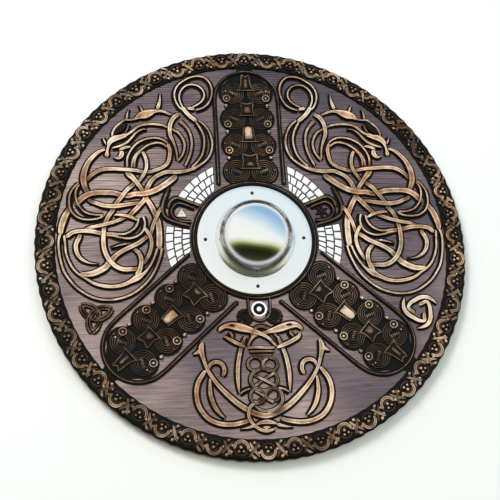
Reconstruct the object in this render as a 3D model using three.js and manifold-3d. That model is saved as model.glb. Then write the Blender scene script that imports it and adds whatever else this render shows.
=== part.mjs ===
// A carved wooden round shield with a hollow steel boss, lying face up.
//
// Millimetres. The origin is the middle of the underside, +Z runs out of the face along the boss's
// axis, and +Y points to the upper panel. The carving is laid out in hundredths of the radius.

import * as THREE from 'three';
import { mergeVertices } from 'three/addons/utils/BufferGeometryUtils.js';
import Module from 'manifold-3d';

const wasm = await Module();
wasm.setup();

// ---- Driving dimensions ----

const RADIUS = 375;
const UNIT = RADIUS / 100;
const BOARD = 16;
const RELIEF = 4.5;
const WALL = 0.65 * UNIT;
const PASS = 2.5 * UNIT;
const TOLERANCE = 2.6;
const GAP = 0.3;

const RIM = { inner: 90.7 * UNIT, height: 2.5, scallop: 3, loops: 52, width: 1.9 * UNIT, swing: 2.1 * UNIT, reach: 0.5 };
const HAND_HOLE = 56;
const BOSS = { flange: 100, dome: 67.5, fillet: 6, height: 62, sheet: 2, sides: 24, steps: 4 };
const RIVET = { circle: 85.8, shank: 2.2, head: 3.4, headHeight: 1.2, tail: 3.6, tailHeight: 1.5, sides: 6 };
const TAIL_SINK = 2.4;
const COLLAR = { inner: 100.8, outer: 110, height: 4, sides: 28 };
const GRIP = { length: 212, endWidth: 24, depth: 9, handle: 11, handleLength: 104 };
const PANEL = { halfWidth: 15.1, start: 26, end: 72.8, band: 1.9, lowerAngle: 47.57 };
const ORNAMENT = { first: 34, pitch: 14.1, rows: 4, discX: 6.5, discR: 5.8, eyeX: 9.4, eyeR: 1.8, height: 2.6 };
const TILE = { rows: 3, inner: 29.8, outer: 41.2, joint: 0.5, pocket: 4, bed: 3, proud: 1.2 };
const INLAY = { y: -33.4, outer: 3.6, inner: 2.7, dot: 1.1, pocket: 2.5, proud: 0.8, sides: 12 };

const WOOD = new THREE.MeshStandardMaterial({ color: 0x6a4a3c, roughness: 0.6, metalness: 0 });
const STEEL = new THREE.MeshStandardMaterial({ color: 0xd8dde2, roughness: 0.15, metalness: 1 });
const IRON = new THREE.MeshStandardMaterial({ color: 0x3a3634, roughness: 0.45, metalness: 0.9 });
const WHITE = new THREE.MeshStandardMaterial({ color: 0xf2f0ea, roughness: 0.35, metalness: 0 });
const ASH = new THREE.MeshStandardMaterial({ color: 0x8a6d4c, roughness: 0.65, metalness: 0 });

// ---- Solids and meshes ----

/** A closed three.js geometry as a solid that can be joined and cut. */
function solid(geometry) {
  const bare = geometry.clone();
  bare.deleteAttribute('normal');
  bare.deleteAttribute('uv');
  const merged = mergeVertices(bare, 1e-4);
  const vertProperties = new Float32Array(merged.attributes.position.array);
  const triVerts = new Uint32Array(merged.index.array);
  return new wasm.Manifold(new wasm.Mesh({ numProp: 3, vertProperties, triVerts }));
}

/** A joined or cut solid as a named mesh. */
function part(name, shape, material) {
  const data = shape.getMesh();
  const geometry = new THREE.BufferGeometry();
  geometry.setAttribute('position', new THREE.BufferAttribute(data.vertProperties, 3));
  geometry.setIndex(new THREE.BufferAttribute(data.triVerts, 1));
  geometry.computeVertexNormals();
  const mesh = new THREE.Mesh(geometry, material);
  mesh.name = name;
  return mesh;
}

/** An upright prism over an outline of [x, y] points, between two heights. */
function prism(outline, low, high) {
  const shape = new THREE.Shape(outline.map(([x, y]) => new THREE.Vector2(x, y)));
  const geometry = new THREE.ExtrudeGeometry(shape, { depth: high - low, bevelEnabled: false });
  return solid(geometry.translate(0, 0, low));
}

/** A solid of revolution about the boss's axis, from [radius, height] points. */
function turned(profile, sides) {
  const points = profile.map(([r, z]) => new THREE.Vector2(r, z));
  return solid(new THREE.LatheGeometry(points, sides).rotateX(Math.PI / 2));
}

/** Points on an arc, in degrees counter-clockwise from +X, both ends included. */
function arc(cx, cy, radius, from, to, steps) {
  return Array.from({ length: steps + 1 }, (_, i) => {
    const a = THREE.MathUtils.degToRad(from + ((to - from) * i) / steps);
    return [cx + radius * Math.cos(a), cy + radius * Math.sin(a)];
  });
}

const scaled = (points) => points.map(([x, y]) => [x * UNIT, y * UNIT]);
const mirrored = (points) => points.map(([x, y, ...rest]) => [-x, y, ...rest]);

// ---- Carved ribbons ----

/** Keeps the sections of a dense run that it needs to stay within a tolerance, ends included. */
function simplified(run, tolerance) {
  const [first, last] = [run[0], run[run.length - 1]];
  const between = (from, to) => [to.x - from.x, to.y - from.y, (to.width - from.width) / 2];
  const span = between(first, last);
  const length = Math.hypot(...span) || 1;
  let worst = 0;
  let split = 0;
  run.forEach((section, index) => {
    const offset = between(first, section);
    const along = offset.reduce((sum, value, k) => sum + (value * span[k]) / length, 0);
    const away = Math.sqrt(Math.max(0, Math.hypot(...offset) ** 2 - along ** 2));
    if (away > worst) [worst, split] = [away, index];
  });
  if (worst <= tolerance) return [first, last];
  const before = simplified(run.slice(0, split + 1), tolerance);
  return [...before.slice(0, -1), ...simplified(run.slice(split), tolerance)];
}

/** The runs of a ribbon's middle line, with a gap wherever it passes under another ribbon. */
function runsAlong(line, under) {
  const points = line.map(([x, y, width]) => new THREE.Vector3(x, y, width).multiplyScalar(UNIT));
  const curve = new THREE.CatmullRomCurve3(points, false, 'centripetal');
  const dense = curve.getSpacedPoints(line.length * 12);
  const runs = [[]];
  dense.forEach((p, index) => {
    const before = dense[Math.max(0, index - 1)];
    const after = dense[Math.min(dense.length - 1, index + 1)];
    const step = Math.hypot(after.x - before.x, after.y - before.y);
    const hidden = under.some(([x, y]) => Math.hypot(p.x - x * UNIT, p.y - y * UNIT) < PASS);
    const tangent = { tx: (after.x - before.x) / step, ty: (after.y - before.y) / step };
    if (!hidden) runs[runs.length - 1].push({ x: p.x, y: p.y, width: p.z, ...tangent });
    else if (runs[runs.length - 1].length > 0) runs.push([]);
  });
  return runs.filter((run) => run.length > 1).map((run) => simplified(run, TOLERANCE));
}

/** A closed body swept over sections: a flat top and walls that slope out to the foot. */
function sweep(sections, low, high) {
  const position = [];
  const index = [];
  for (const { x, y, width, tx, ty } of sections) {
    for (const [side, z] of [[width / 2, high], [width / 2 + WALL, low]]) {
      position.push(x - ty * side, y + tx * side, z, x + ty * side, y - tx * side, z);
    }
  }
  const [topLeft, topRight, footLeft, footRight] = [0, 1, 2, 3];
  const around = [topLeft, footLeft, footRight, topRight];
  for (let here = 0; here + 4 < position.length / 3; here += 4) {
    around.forEach((corner, k) => {
      const next = around[(k + 1) % 4];
      index.push(here + corner, here + corner + 4, here + next + 4, here + corner, here + next + 4, here + next);
    });
  }
  const last = position.length / 3 - 4;
  index.push(0, 2, 3, 0, 3, 1, last, last + 3, last + 2, last, last + 1, last + 3);
  const geometry = new THREE.BufferGeometry();
  geometry.setAttribute('position', new THREE.Float32BufferAttribute(position, 3));
  geometry.setIndex(index);
  return solid(geometry);
}

/** The bodies of one ribbon. Each is a hair prouder than the last, so that no two tops coincide. */
function ribbon({ line, under = [] }, order) {
  const high = BOARD + RELIEF + 0.07 * (order % 8);
  return runsAlong(line, under).map((run) => sweep(run, BOARD, high));
}

const bothSides = (ribbons) => [
  ...ribbons,
  ...ribbons.map(({ line, under = [] }) => ({ line: mirrored(line), under: mirrored(under) })),
];

// ---- The beasts, drawn for the left side ----

const BEAST_HEAD = [
  { line: [[-67.7, 41.9, 2.5], [-67.2, 47, 1.3], [-64.1, 51.4, 3.2], [-58.1, 53.1, 2]] },
  {
    line: [[-59.2, 53, 1.8], [-53.1, 57.7, 1.2], [-46.5, 59.1, 1.2], [-39.1, 57.9, 1.2], [-34.1, 54.7, 1.2],
      [-31.1, 48.7, 1.2], [-34.4, 39.5, 0.9]],
    under: [[-37.6, 57.2]],
  },
  {
    line: [[-65.3, 52.7, 0.9], [-62.8, 58.3, 1], [-57, 61.3, 1], [-49.5, 64.3, 4.6], [-45, 66, 2],
      [-36.7, 64.6, 1.2]],
    under: [[-36.2, 64.3]],
  },
  { line: [[-43.6, 67.2, 2], [-42.3, 72.2, 1.2], [-42.1, 76.4, 0.2]] },
  { line: [[-58.3, 61.8, 1.6], [-57.3, 67.5, 0.2]] },
  { line: [[-50.9, 65.6, 1.6], [-52.5, 69.8, 0.2]] },
  { line: [[-64.3, 54.8, 0.4], [-61.4, 57.2, 2.2], [-58.5, 59.6, 0.4]] },
  { line: [[-65.3, 46.4, 0.6], [-60.7, 47.9, 1.2], [-55.4, 52.6, 1.1], [-48.8, 56.4, 0.3]] },
  { line: [[-56.5, 47.1, 1], [-60.7, 46, 1.4], [-60.9, 42.8, 2.2], [-64.5, 42, 0.3]] },
];

const BEAST_NECK = [
  {
    line: [[-57.3, 36.4, 2.6], [-56, 42, 2.8], [-52, 47.6, 3.2], [-45.5, 50.3, 3], [-39.2, 47.6, 2],
      [-38.2, 42.5, 1.8], [-41.4, 36.9, 1.8], [-48.3, 34.1, 1.8]],
    under: [[-49.6, 34.3]],
  },
  { line: [[-51.2, 44.9, 1], [-49.3, 39.7, 1.6], [-49.7, 34.4, 1.6], [-52, 30.6, 1.6]], under: [[-52, 30.6]] },
  { line: [[-33.3, 65.1, 2.2], [-37.7, 58.5, 2], [-37, 51.2, 1.6], [-34.8, 42.5, 0.9], [-34.5, 38.6, 0.7]] },
  { line: [[-33, 61.3, 2], [-28.9, 55.8, 1.1], [-27.6, 48, 1], [-31.1, 37.4, 1]], under: [[-31.6, 60]] },
  { line: [[-75.9, 31.3, 2], [-69.5, 35.3, 2], [-60.8, 35.3, 2], [-52.9, 34.5, 1.6]] },
  { line: [[-69.5, 45.3, 1.2], [-75.8, 39.7, 2.2], [-78.4, 30.6, 3], [-77, 25, 1.8]], under: [[-77, 24.6]] },
];

const BEAST_TAIL = [
  {
    line: [[-24.6, 68.2, 0.8], [-21, 70.2, 1.6], [-18.8, 75.2, 3.4], [-20.9, 81.3, 4], [-26.2, 83.2, 4.2],
      [-31.8, 80.3, 3.6], [-33.9, 74.6, 2.6], [-32.4, 69.3, 2.2], [-27.8, 63.2, 2], [-25, 60.6, 2.4]],
  },
  { line: [[-25.2, 60.2, 0.9], [-22, 53.6, 0.9], [-21.9, 46.1, 0.9], [-28.1, 36.6, 0.9]] },
  {
    line: [[-24.1, 61.3, 0.9], [-19.1, 55, 0.9], [-18.7, 43.6, 0.9], [-24.1, 37.3, 1], [-31.1, 34.3, 2],
      [-40, 33.8, 2], [-45.1, 31.3, 2], [-49.2, 25.3, 2.2], [-50.4, 20.4, 2.2], [-56.2, 13.4, 2.2]],
    under: [[-49.5, 23.4], [-51, 18.6]],
  },
];

const BEAST_BODY = [
  {
    line: [[-80.3, 19.7, 3], [-75.1, 23.1, 2.8], [-64.5, 23.4, 2.6], [-57.9, 22.2, 2.6], [-48.3, 23.4, 2.8],
      [-39.5, 28.4, 3], [-35.9, 31.8, 2.6]],
    under: [[-59.8, 22.4]],
  },
  {
    line: [[-57.3, 33, 3], [-53.6, 28.1, 2], [-51.1, 23.6, 1.8], [-47.5, 16.9, 2.2], [-44.6, 11.5, 1.7],
      [-46.8, 5.3, 1.7]],
    under: [[-50.8, 22.8]],
  },
  { line: [[-56.1, 27.2, 2], [-61.7, 20.3, 2], [-64.4, 16.6, 2], [-68, 9.8, 2]], under: [[-64.5, 16.6]] },
  {
    line: [[-74.9, 19.5, 1.4], [-67.2, 16.9, 2.2], [-60.4, 17.2, 2.2], [-54.3, 18.2, 1]],
    under: [[-73.6, 19.4], [-53.6, 18]],
  },
  {
    line: [[-80.3, 28.3, 1.6], [-83.1, 22, 3], [-81.5, 15.8, 3], [-77.3, 12, 2.8], [-69.1, 12.3, 1.4]],
    under: [[-67.6, 11.8]],
  },
  { line: [[-85.2, 14.6, 2.4], [-87.5, 8.5, 3], [-88.3, 3.4, 2.4]] },
  {
    line: [[-87.9, 3.6, 2.2], [-87.1, -5.7, 3], [-83.2, -15.4, 4.6], [-76, -22.6, 5.2], [-66, -25.4, 5.8],
      [-56.4, -22.6, 5], [-48.6, -14.8, 3.8], [-44.6, -6, 2.6], [-43.9, 2, 2.8], [-44.4, 8, 2.4]],
    under: [[-44.5, 9.4]],
  },
  {
    line: [[-85.6, 1.8, 2], [-80.9, 4.6, 2], [-72, 4.1, 2], [-66, 3, 2], [-61, 1.9, 1.8], [-55.2, 2.9, 2.6],
      [-51.8, 7, 2.8], [-52.4, 11.6, 2.2]],
    under: [[-69, 3.8]],
  },
  { line: [[-75.9, 6.3, 1.4], [-64.9, 8.8, 1.7], [-59.7, 10.5, 1.5]], under: [[-67.8, 8.2]] },
  {
    line: [[-68.9, 6.4, 2], [-68.9, -2.8, 2.1], [-65.9, -10, 2.1], [-59.9, -13.9, 2.1], [-54.1, -13.6, 1.6]],
    under: [[-53.6, -13.5]],
  },
  {
    line: [[-49.4, 1.6, 1.6], [-56.3, -3, 2.1], [-62.7, -6.6, 2.3], [-66.5, -11, 2.8], [-73.4, -15.5, 2.8],
      [-78.8, -15.5, 1.2]],
    under: [[-66, -10.2]],
  },
  { line: [[-54.9, -3.6, 1.2], [-52.2, -9.3, 2], [-53.3, -15.6, 2.2]], under: [[-55.2, -2.6]] },
  { line: [[-49.5, 5.6, 1.5], [-47.6, -1.5, 1.7], [-49.4, -9.6, 1.2]] },
  { line: [[-79.6, 3.6, 1.6], [-81.2, -2.4, 2], [-78.6, -8.8, 1.4], [-71, -11.2, 0.2]] },
];

// ---- Loops beside the boss, and the carving below it ----

const BOSS_LOOPS = [
  {
    line: [[-39.2, 26.3, 1], [-41.9, 18, 1], [-42.1, 13, 1], [-40, 9.6, 1], [-35, 7.6, 1], [-29.6, 6.2, 1]],
    under: [[-40.8, 20.6]],
  },
  { line: [[-40.6, 14.6, 1], [-39.2, 18.6, 1], [-35.6, 20.3, 1], [-30, 18.5, 1], [-25, 16.4, 1]] },
];

const TWIN_BEASTS = [
  {
    line: [[-18.8, -42, 0.4], [-14, -41.2, 2.6], [-8, -42.2, 3], [-3, -43.6, 2.2], [2, -46, 2], [5.6, -50.4, 1.6]],
    under: [[0.4, -44.9]],
  },
  {
    line: [[18.8, -42.6, 0.4], [14, -41.6, 2.6], [8, -42.6, 3], [3, -42.6, 2], [-3, -45.4, 2],
      [-6.6, -50.6, 1.6]],
  },
];

const STAND = [
  { line: [[-18, -45, 0.4], [-15, -47.5, 1.5], [-11, -49.5, 1.6], [-7.4, -50.8, 1.4]] },
  { line: [[-7.4, -46.6, 1.4], [-10.2, -55, 1.8], [-11.3, -64, 1.8], [-11, -71.3, 0.4]], under: [[-9, -50.4]] },
  {
    line: [[-26, -48, 1.2], [-26.7, -52, 2.5], [-24, -61, 1.6], [-16, -71.5, 2.2], [-7, -79, 2.4],
      [0.6, -82.2, 2.2]],
    under: [[-5, -80.2]],
  },
  { line: [[-26.4, -51.4, 1.4], [-30, -53, 0.3]] },
  { line: [[-23.4, -59.6, 1.2], [-20.5, -57, 1.8], [-17.4, -59.2, 1.8], [-18, -63.8, 1.8]] },
  {
    line: [[-25, -60.4, 1.2], [-28.6, -66, 2], [-29.2, -73.5, 2], [-25, -81, 2], [-14, -84, 2], [-6.4, -82.4, 1.8]],
    under: [[-7.6, -82.7]],
  },
  { line: [[-23.2, -64, 1], [-23.4, -71, 1.8], [-22, -76, 1.8], [-17.6, -81.4, 0.6]] },
  { line: [[-4.5, -84.6, 1.8], [-11.5, -86, 0.2]] },
];

const BOTTOM_LOOP = [
  {
    line: [[-3.4, -74.5, 1.4], [-7.2, -79.6, 1.4], [-6.2, -84.2, 1.4], [-2.6, -86.9, 1.4], [3.6, -86.6, 1]],
    under: [[-5, -80.6]],
  },
  { line: [[-5, -84.6, 1], [0, -83.6, 2.2], [5, -84.6, 1]] },
];

/** The knot column: two ribbons that cross and part again all the way down. */
function knotColumn() {
  const { top, pitch, swing, turns } = { top: -47.5, pitch: 7.4, swing: 4.6, turns: 4 };
  return [-1, 1].map((side) => {
    const line = [];
    const under = [];
    for (let i = 0; i <= turns * 2; i += 1) {
      const y = top - (pitch * i) / 2;
      line.push([side * swing * Math.cos((Math.PI * i) / 2), y, 2]);
      const crossing = (i - 1) / 2;
      if (i % 2 === 1 && (crossing % 2 === 0) === (side > 0)) under.push([0, y]);
    }
    return { line, under };
  });
}

/** A triquetra: three arcs of one radius, each running from one corner past the middle to the next. */
function triquetra({ x, y, reach, turn, width }) {
  const offset = reach / 1.536;
  const radius = 1.35 * offset;
  return [0, 120, 240].map((spin) => {
    const away = THREE.MathUtils.degToRad(turn + spin);
    const [cx, cy] = [x + offset * Math.cos(away), y + offset * Math.sin(away)];
    const line = arc(cx, cy, radius, turn + spin + 99, turn + spin + 261, 6).map((p) => [...p, width]);
    return { line, under: [line[2]] };
  });
}

/** A triskele: three horns that sweep around the middle, each tucking under the next. */
function triskele({ x, y, turn }) {
  const horn = [[0, 8.9, 0.2], [17, 8.1, 1.2], [37, 7.4, 1.8], [62, 6.1, 2], [90, 5, 1.8], [125, 5.1, 1.5],
    [152, 5.4, 1.4], [170, 3.4, 1.6], [196, 2.6, 1.4]];
  return [0, 120, 240].map((spin) => {
    const line = horn.map(([angle, radius, width]) => {
      const a = THREE.MathUtils.degToRad(turn + spin + angle);
      return [x + radius * Math.cos(a), y + radius * Math.sin(a), width];
    });
    return { line, under: [line[8]] };
  });
}

// ---- Rim ----

/** A ring of points at a radius, with a shallow notch between every two knots of the rim. */
function scalloped(radius, depth) {
  return Array.from({ length: 2 * RIM.loops }, (_, i) => {
    const a = (i * Math.PI) / RIM.loops;
    const r = radius - (i % 2 === 0 ? 0 : depth);
    return [r * Math.cos(a), r * Math.sin(a)];
  });
}

/** One stroke of the rim's plait, leaning across the band from its outer side to its inner side. */
function rimStroke(order) {
  const { loops, width, swing, reach, height } = RIM;
  const middle = (RIM.inner + RADIUS) / 2 - 1;
  const [start, end] = [-1, 1].map((way) => {
    const a = ((order + way * reach) * 2 * Math.PI) / loops;
    const r = middle - way * swing;
    return new THREE.Vector2(r * Math.cos(a), r * Math.sin(a));
  });
  const way = end.clone().sub(start).normalize();
  const sections = [start, end].map((p) => ({ x: p.x, y: p.y, width, tx: way.x, ty: way.y }));
  return sweep(sections, BOARD + height, BOARD + height + 3);
}

// ---- Panels ----

/** Points turned about the middle of the shield. */
function rotated(points, degrees) {
  const [c, s] = [Math.cos(THREE.MathUtils.degToRad(degrees)), Math.sin(THREE.MathUtils.degToRad(degrees))];
  return points.map(([x, y, ...rest]) => [x * c - y * s, x * s + y * c, ...rest]);
}

/** The carved band around one panel, straight up from the boss and round at its outer end. */
function panelBand(angle) {
  const { halfWidth, start, end, band } = PANEL;
  const round = arc(0, end, halfWidth, 180, 0, 6);
  const line = [[-halfWidth, start], [-halfWidth, 50], ...round, [halfWidth, 50], [halfWidth, start]];
  return { line: rotated(line, angle).map((p) => [...p, band]) };
}

/** The ornament in one panel: paired discs, eyed rings and a column of bells up the middle. */
function panelOrnament(angle) {
  const { first, pitch, rows, discX, discR, eyeX, eyeR, height } = ORNAMENT;
  const raised = (outline, low, high) => prism(scaled(rotated(outline, angle)), BOARD + low, BOARD + high);
  const top = first + rows * pitch;
  const bodies = [raised([[-4.2, first], [4.2, first], [4.2, top - 5], [-4.2, top - 5]], 0, height)];
  for (let row = 0; row < rows; row += 1) {
    const y = first + row * pitch;
    for (const side of [-1, 1]) {
      bodies.push(raised(arc(side * discX, y, discR, 26, 334, 6), 0, height));
      if (row > 0) bodies.push(raised(arc(side * eyeX, y - 2.2, eyeR, 0, 288, 4), height, RELIEF));
    }
    const foot = y + 1.4;
    bodies.push(raised([[-3.6, foot], [3.6, foot], [2.2, foot + 8], [-2.2, foot + 8]], height, RELIEF + 0.6));
  }
  return bodies;
}

/** The three carved panels, one upright and two leaning down either side. */
function panels() {
  const angles = [0, 180 - PANEL.lowerAngle, 180 + PANEL.lowerAngle];
  return angles.flatMap((angle, index) => [...ribbon(panelBand(angle), index), ...panelOrnament(angle)]);
}

// ---- Tiles ----

/** The angle at which a straight end line crosses a radius about the middle, in degrees. */
function crossingAngle([[ax, ay], [bx, by]], radius) {
  const [dx, dy] = [bx - ax, by - ay];
  const a = dx * dx + dy * dy;
  const b = 2 * (ax * dx + ay * dy);
  const c = ax * ax + ay * ay - radius * radius;
  const t = (-b + Math.sqrt(b * b - 4 * a * c)) / (2 * a);
  return THREE.MathUtils.radToDeg(Math.atan2(ay + t * dy, ax + t * dx));
}

/** A cell between two radii and two end angles for each of them, grown by a margin on every side. */
function cell(inner, outer, innerAngles, outerAngles, steps, margin) {
  const spread = (radius) => (THREE.MathUtils.radToDeg(margin / radius));
  const [low, high] = [inner - margin, outer + margin];
  return [
    ...arc(0, 0, low, innerAngles[0] - spread(low), innerAngles[1] + spread(low), steps),
    ...arc(0, 0, high, outerAngles[1] + spread(high), outerAngles[0] - spread(high), steps),
  ];
}

/** A field's end angles at a radius on the left side, the upper one first. */
const fieldAngles = (field, radius) => [field.from, field.to]
  .map((end) => (crossingAngle(end, radius) + 360) % 360);

/** The whole outline of a field, grown by a margin. */
function fieldOutline(field, margin) {
  const { inner, outer } = TILE;
  const outline = cell(inner, outer, fieldAngles(field, inner), fieldAngles(field, outer), 4, margin);
  return scaled(field.right ? mirrored(outline) : outline);
}

/** The outlines of a field's tiles: three curved rows, each shifted by half a tile from the last. */
function tileOutlines(field) {
  const { inner, outer, rows, joint } = TILE;
  const depth = (outer - inner) / rows;
  const outlines = [];
  for (let row = 0; row < rows; row += 1) {
    const [low, high] = [inner + row * depth, inner + (row + 1) * depth];
    for (let i = row % 2 === 0 ? 0 : -0.5; i < field.tiles; i += 1) {
      const [a, b] = [Math.max(0, i) / field.tiles, Math.min(field.tiles, i + 1) / field.tiles];
      const stretch = ([from, to]) => [a, b].map((t) => from + (to - from) * t);
      const [near, far] = [low, high].map((radius) => stretch(fieldAngles(field, radius)));
      const outline = cell(low, high, near, far, 1, -joint / 2);
      outlines.push(scaled(field.right ? mirrored(outline) : outline));
    }
  }
  return outlines;
}

/** One field of tiles on its bed, let into the board. */
function tileField(field) {
  const low = BOARD - TILE.pocket + GAP;
  const top = low + TILE.bed;
  return wasm.Manifold.union([
    prism(fieldOutline(field, -GAP / UNIT), low, top),
    ...tileOutlines(field).map((outline) => prism(outline, top, BOARD + TILE.proud)),
  ]);
}

// ---- Boss, rivets, grip and inlay ----

/** The boss: a hollow dome with a flat flange, one sheet of steel drilled for its rivets. */
function boss(holes) {
  const { flange, dome, fillet, height, sheet, sides, steps } = BOSS;
  const seat = BOARD + GAP;
  const shell = (rx, rz, from, to) => arc(0, 0, 1, from, to, steps)
    .map(([c, s]) => [rx * c, seat + sheet + (rz - sheet) * s]);
  const inside = shell(dome - sheet, height - sheet, 90, 0);
  const outside = shell(dome, height, 12, 90);
  const profile = [...inside, [dome - sheet, seat], [flange, seat], [flange, seat + sheet],
    [dome + fillet, seat + sheet], ...outside];
  profile[0][0] = 0;
  profile[profile.length - 1][0] = 0;
  return turned(profile, sides).subtract(holes);
}

/** A straight round bar along Z, between two heights, about a point. */
function bar(x, y, radius, low, high, sides) {
  return prism(arc(x, y, radius, 0, 360 - 360 / sides, sides - 1), low, high);
}

/** One rivet about its own axis: a head on the flange, a shank, and a clenched tail sunk in the back. */
function rivet() {
  const { shank, head, headHeight, tail, tailHeight, sides } = RIVET;
  const seat = BOARD + GAP + BOSS.sheet + GAP;
  const bottom = TAIL_SINK - tailHeight - GAP;
  const profile = [[0, bottom], [tail, bottom], [tail, bottom + tailHeight], [shank, bottom + tailHeight],
    [shank, seat], [head, seat], [0.6 * head, seat + headHeight], [0, seat + headHeight]];
  return turned(profile, sides);
}

const RIVET_PLACES = {
  boss_rivet_top: [0, RIVET.circle],
  boss_rivet_left: [-RIVET.circle, 0],
  boss_rivet_bottom: [0, -RIVET.circle],
  boss_rivet_right: [RIVET.circle, 0],
};

/** The holes for the rivets, widened at the back for their clenched tails. */
function rivetHoles() {
  const { shank, tail, sides } = RIVET;
  const bodies = Object.values(RIVET_PLACES).flatMap(([x, y]) => [
    bar(x, y, shank + 2 * GAP, -1, BOARD + 10, sides),
    bar(x, y, tail + 2 * GAP, -1, TAIL_SINK, sides),
  ]);
  return wasm.Manifold.union(bodies);
}

/** The straight slot, or with no slack the plank, that carries the grip's ends in the back. */
function gripPlank(slack) {
  const [x, y] = [GRIP.length / 2 + slack, GRIP.endWidth / 2 + slack];
  return prism([[-x, -y], [x, -y], [x, y], [-x, y]], -slack, GRIP.depth + slack);
}

/** The grip, along X: flat ends let into the back, and a rounded handle between them. */
function grip(holes) {
  const outline = arc(0, GRIP.handle, GRIP.handle, 22.5, 337.5, 7).map(([x, y]) => new THREE.Vector2(x, y));
  const depth = GRIP.handleLength;
  const round = new THREE.ExtrudeGeometry(new THREE.Shape(outline), { depth, bevelEnabled: false });
  round.translate(0, 0, -depth / 2).rotateX(Math.PI / 2).rotateZ(Math.PI / 2);
  return gripPlank(0).add(solid(round)).subtract(holes);
}

/** A flat ring, or a disc where the hole has no radius. */
function ring(x, y, outer, inner, low, high, sides) {
  const body = bar(x, y, outer, low, high, sides);
  return inner > 0 ? body.subtract(bar(x, y, inner, low - 1, high + 1, sides)) : body;
}

const LEFT_FIELDS = {
  upper: { from: [[-17.6, 25], [-17.6, 38]], to: [[-26.4, 18.2], [-36, 22]], tiles: 5 },
  lower: { from: [[-28.5, 5], [-41, 7.4]], to: [[-29, -5], [-39, -13.6]], tiles: 5 },
};
const TILE_FIELDS = Object.fromEntries(['left', 'right'].flatMap((side) => Object.entries(LEFT_FIELDS)
  .map(([name, field]) => [`tiles_${side}_${name}`, { ...field, right: side === 'right' }])));

/** Small raised figures that stand alone: a triangle, a flower and the two bosses beside the inlay. */
function smallFigures() {
  const flower = Array.from({ length: 12 }, (_, i) => {
    const [a, r] = [(Math.PI * i) / 6, i % 2 === 0 ? 2.9 : 1.3];
    return [32.5 + r * Math.cos(a), 13.2 + r * Math.sin(a)];
  });
  return [
    prism(scaled(arc(-33.2, 11.8, 2.9, 90, 330, 2)), BOARD, BOARD + 3),
    prism(scaled(flower), BOARD, BOARD + 2.6),
    ...[-7.6, 7.6].map((x) => bar(x * UNIT, -36.4 * UNIT, 4.3 * UNIT, BOARD, BOARD + 3, 8)),
  ];
}

const INLAY_SURROUND = {
  line: [[-5.6, -28.4, 1], [-5.5, -33.4, 1], [-3.9, -37.3, 1], [0, -39, 1], [3.9, -37.3, 1], [5.5, -33.4, 1],
    [5.6, -28.4, 1]],
};

/** The board: one disc with its rim, collar and carving, cut for everything let into it. */
function board(holes) {
  const ribbons = [
    ...bothSides([...BEAST_HEAD, ...BEAST_NECK, ...BEAST_TAIL, ...BEAST_BODY, ...BOSS_LOOPS, ...STAND]),
    ...TWIN_BEASTS,
    ...BOTTOM_LOOP,
    ...knotColumn(),
    ...triquetra({ x: -72.6, y: -34.8, reach: 8.8, turn: 81, width: 1.3 }),
    ...triskele({ x: 73.6, y: -35.9, turn: 15 }),
    INLAY_SURROUND,
  ];
  const rimTop = BOARD + RIM.height;
  const blank = prism(scalloped(RADIUS, RIM.scallop), 0, rimTop)
    .subtract(bar(0, 0, RIM.inner, BOARD, rimTop + 1, RIM.loops));
  const whole = wasm.Manifold.union([
    blank,
    ring(0, 0, COLLAR.outer, COLLAR.inner, BOARD, BOARD + COLLAR.height, COLLAR.sides),
    ...Array.from({ length: RIM.loops }, (_, order) => rimStroke(order)),
    ...panels(),
    ...smallFigures(),
    ...ribbons.flatMap(ribbon),
  ]);
  const cut = whole.subtract(wasm.Manifold.union([
    bar(0, 0, HAND_HOLE, -1, BOARD + 10, 20),
    holes,
    gripPlank(GAP),
    bar(0, INLAY.y * UNIT, INLAY.outer * UNIT + GAP, BOARD - INLAY.pocket, BOARD + 10, INLAY.sides),
    ...Object.values(TILE_FIELDS).map((field) => prism(fieldOutline(field, 0), BOARD - TILE.pocket, BOARD + 10)),
  ]));
  return cut.decompose().sort((a, b) => b.volume() - a.volume())[0];
}

/** The inlay below the boss: a white ring around a dark bed with a white dot. */
function inlay(outer, inner) {
  const base = BOARD - INLAY.pocket + GAP;
  return ring(0, INLAY.y * UNIT, outer * UNIT, inner * UNIT, base, BOARD + INLAY.proud, INLAY.sides);
}

// ---- The shield ----

const shield = new THREE.Group();
const holes = rivetHoles();
shield.add(part('board', board(holes), WOOD));
shield.add(part('boss', boss(holes), STEEL));
for (const [name, [x, y]] of Object.entries(RIVET_PLACES)) {
  const mesh = part(name, rivet(), IRON);
  mesh.position.set(x, y, 0);
  shield.add(mesh);
}
for (const [name, field] of Object.entries(TILE_FIELDS)) shield.add(part(name, tileField(field), WHITE));
shield.add(part('grip', grip(holes), ASH));
shield.add(part('inlay_ring', inlay(INLAY.outer, INLAY.inner), WHITE));
shield.add(part('inlay_dot', inlay(INLAY.dot, 0), WHITE));

export default shield;
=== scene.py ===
"""A wooden round shield with carved beasts and knotwork, white tiles and a steel boss, lying face up.

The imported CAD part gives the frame. This script dresses it: the solids' forms are kept, and the finer
carving, the worn edges, the grain and the materials are added. Plans are in hundredths of the shield's
radius (one UNIT), as the carver would lay them out, and heights are in metres above the underside.
"""

import math

import bmesh
import bpy
import numpy as np
from mathutils import Matrix, Vector

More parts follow.
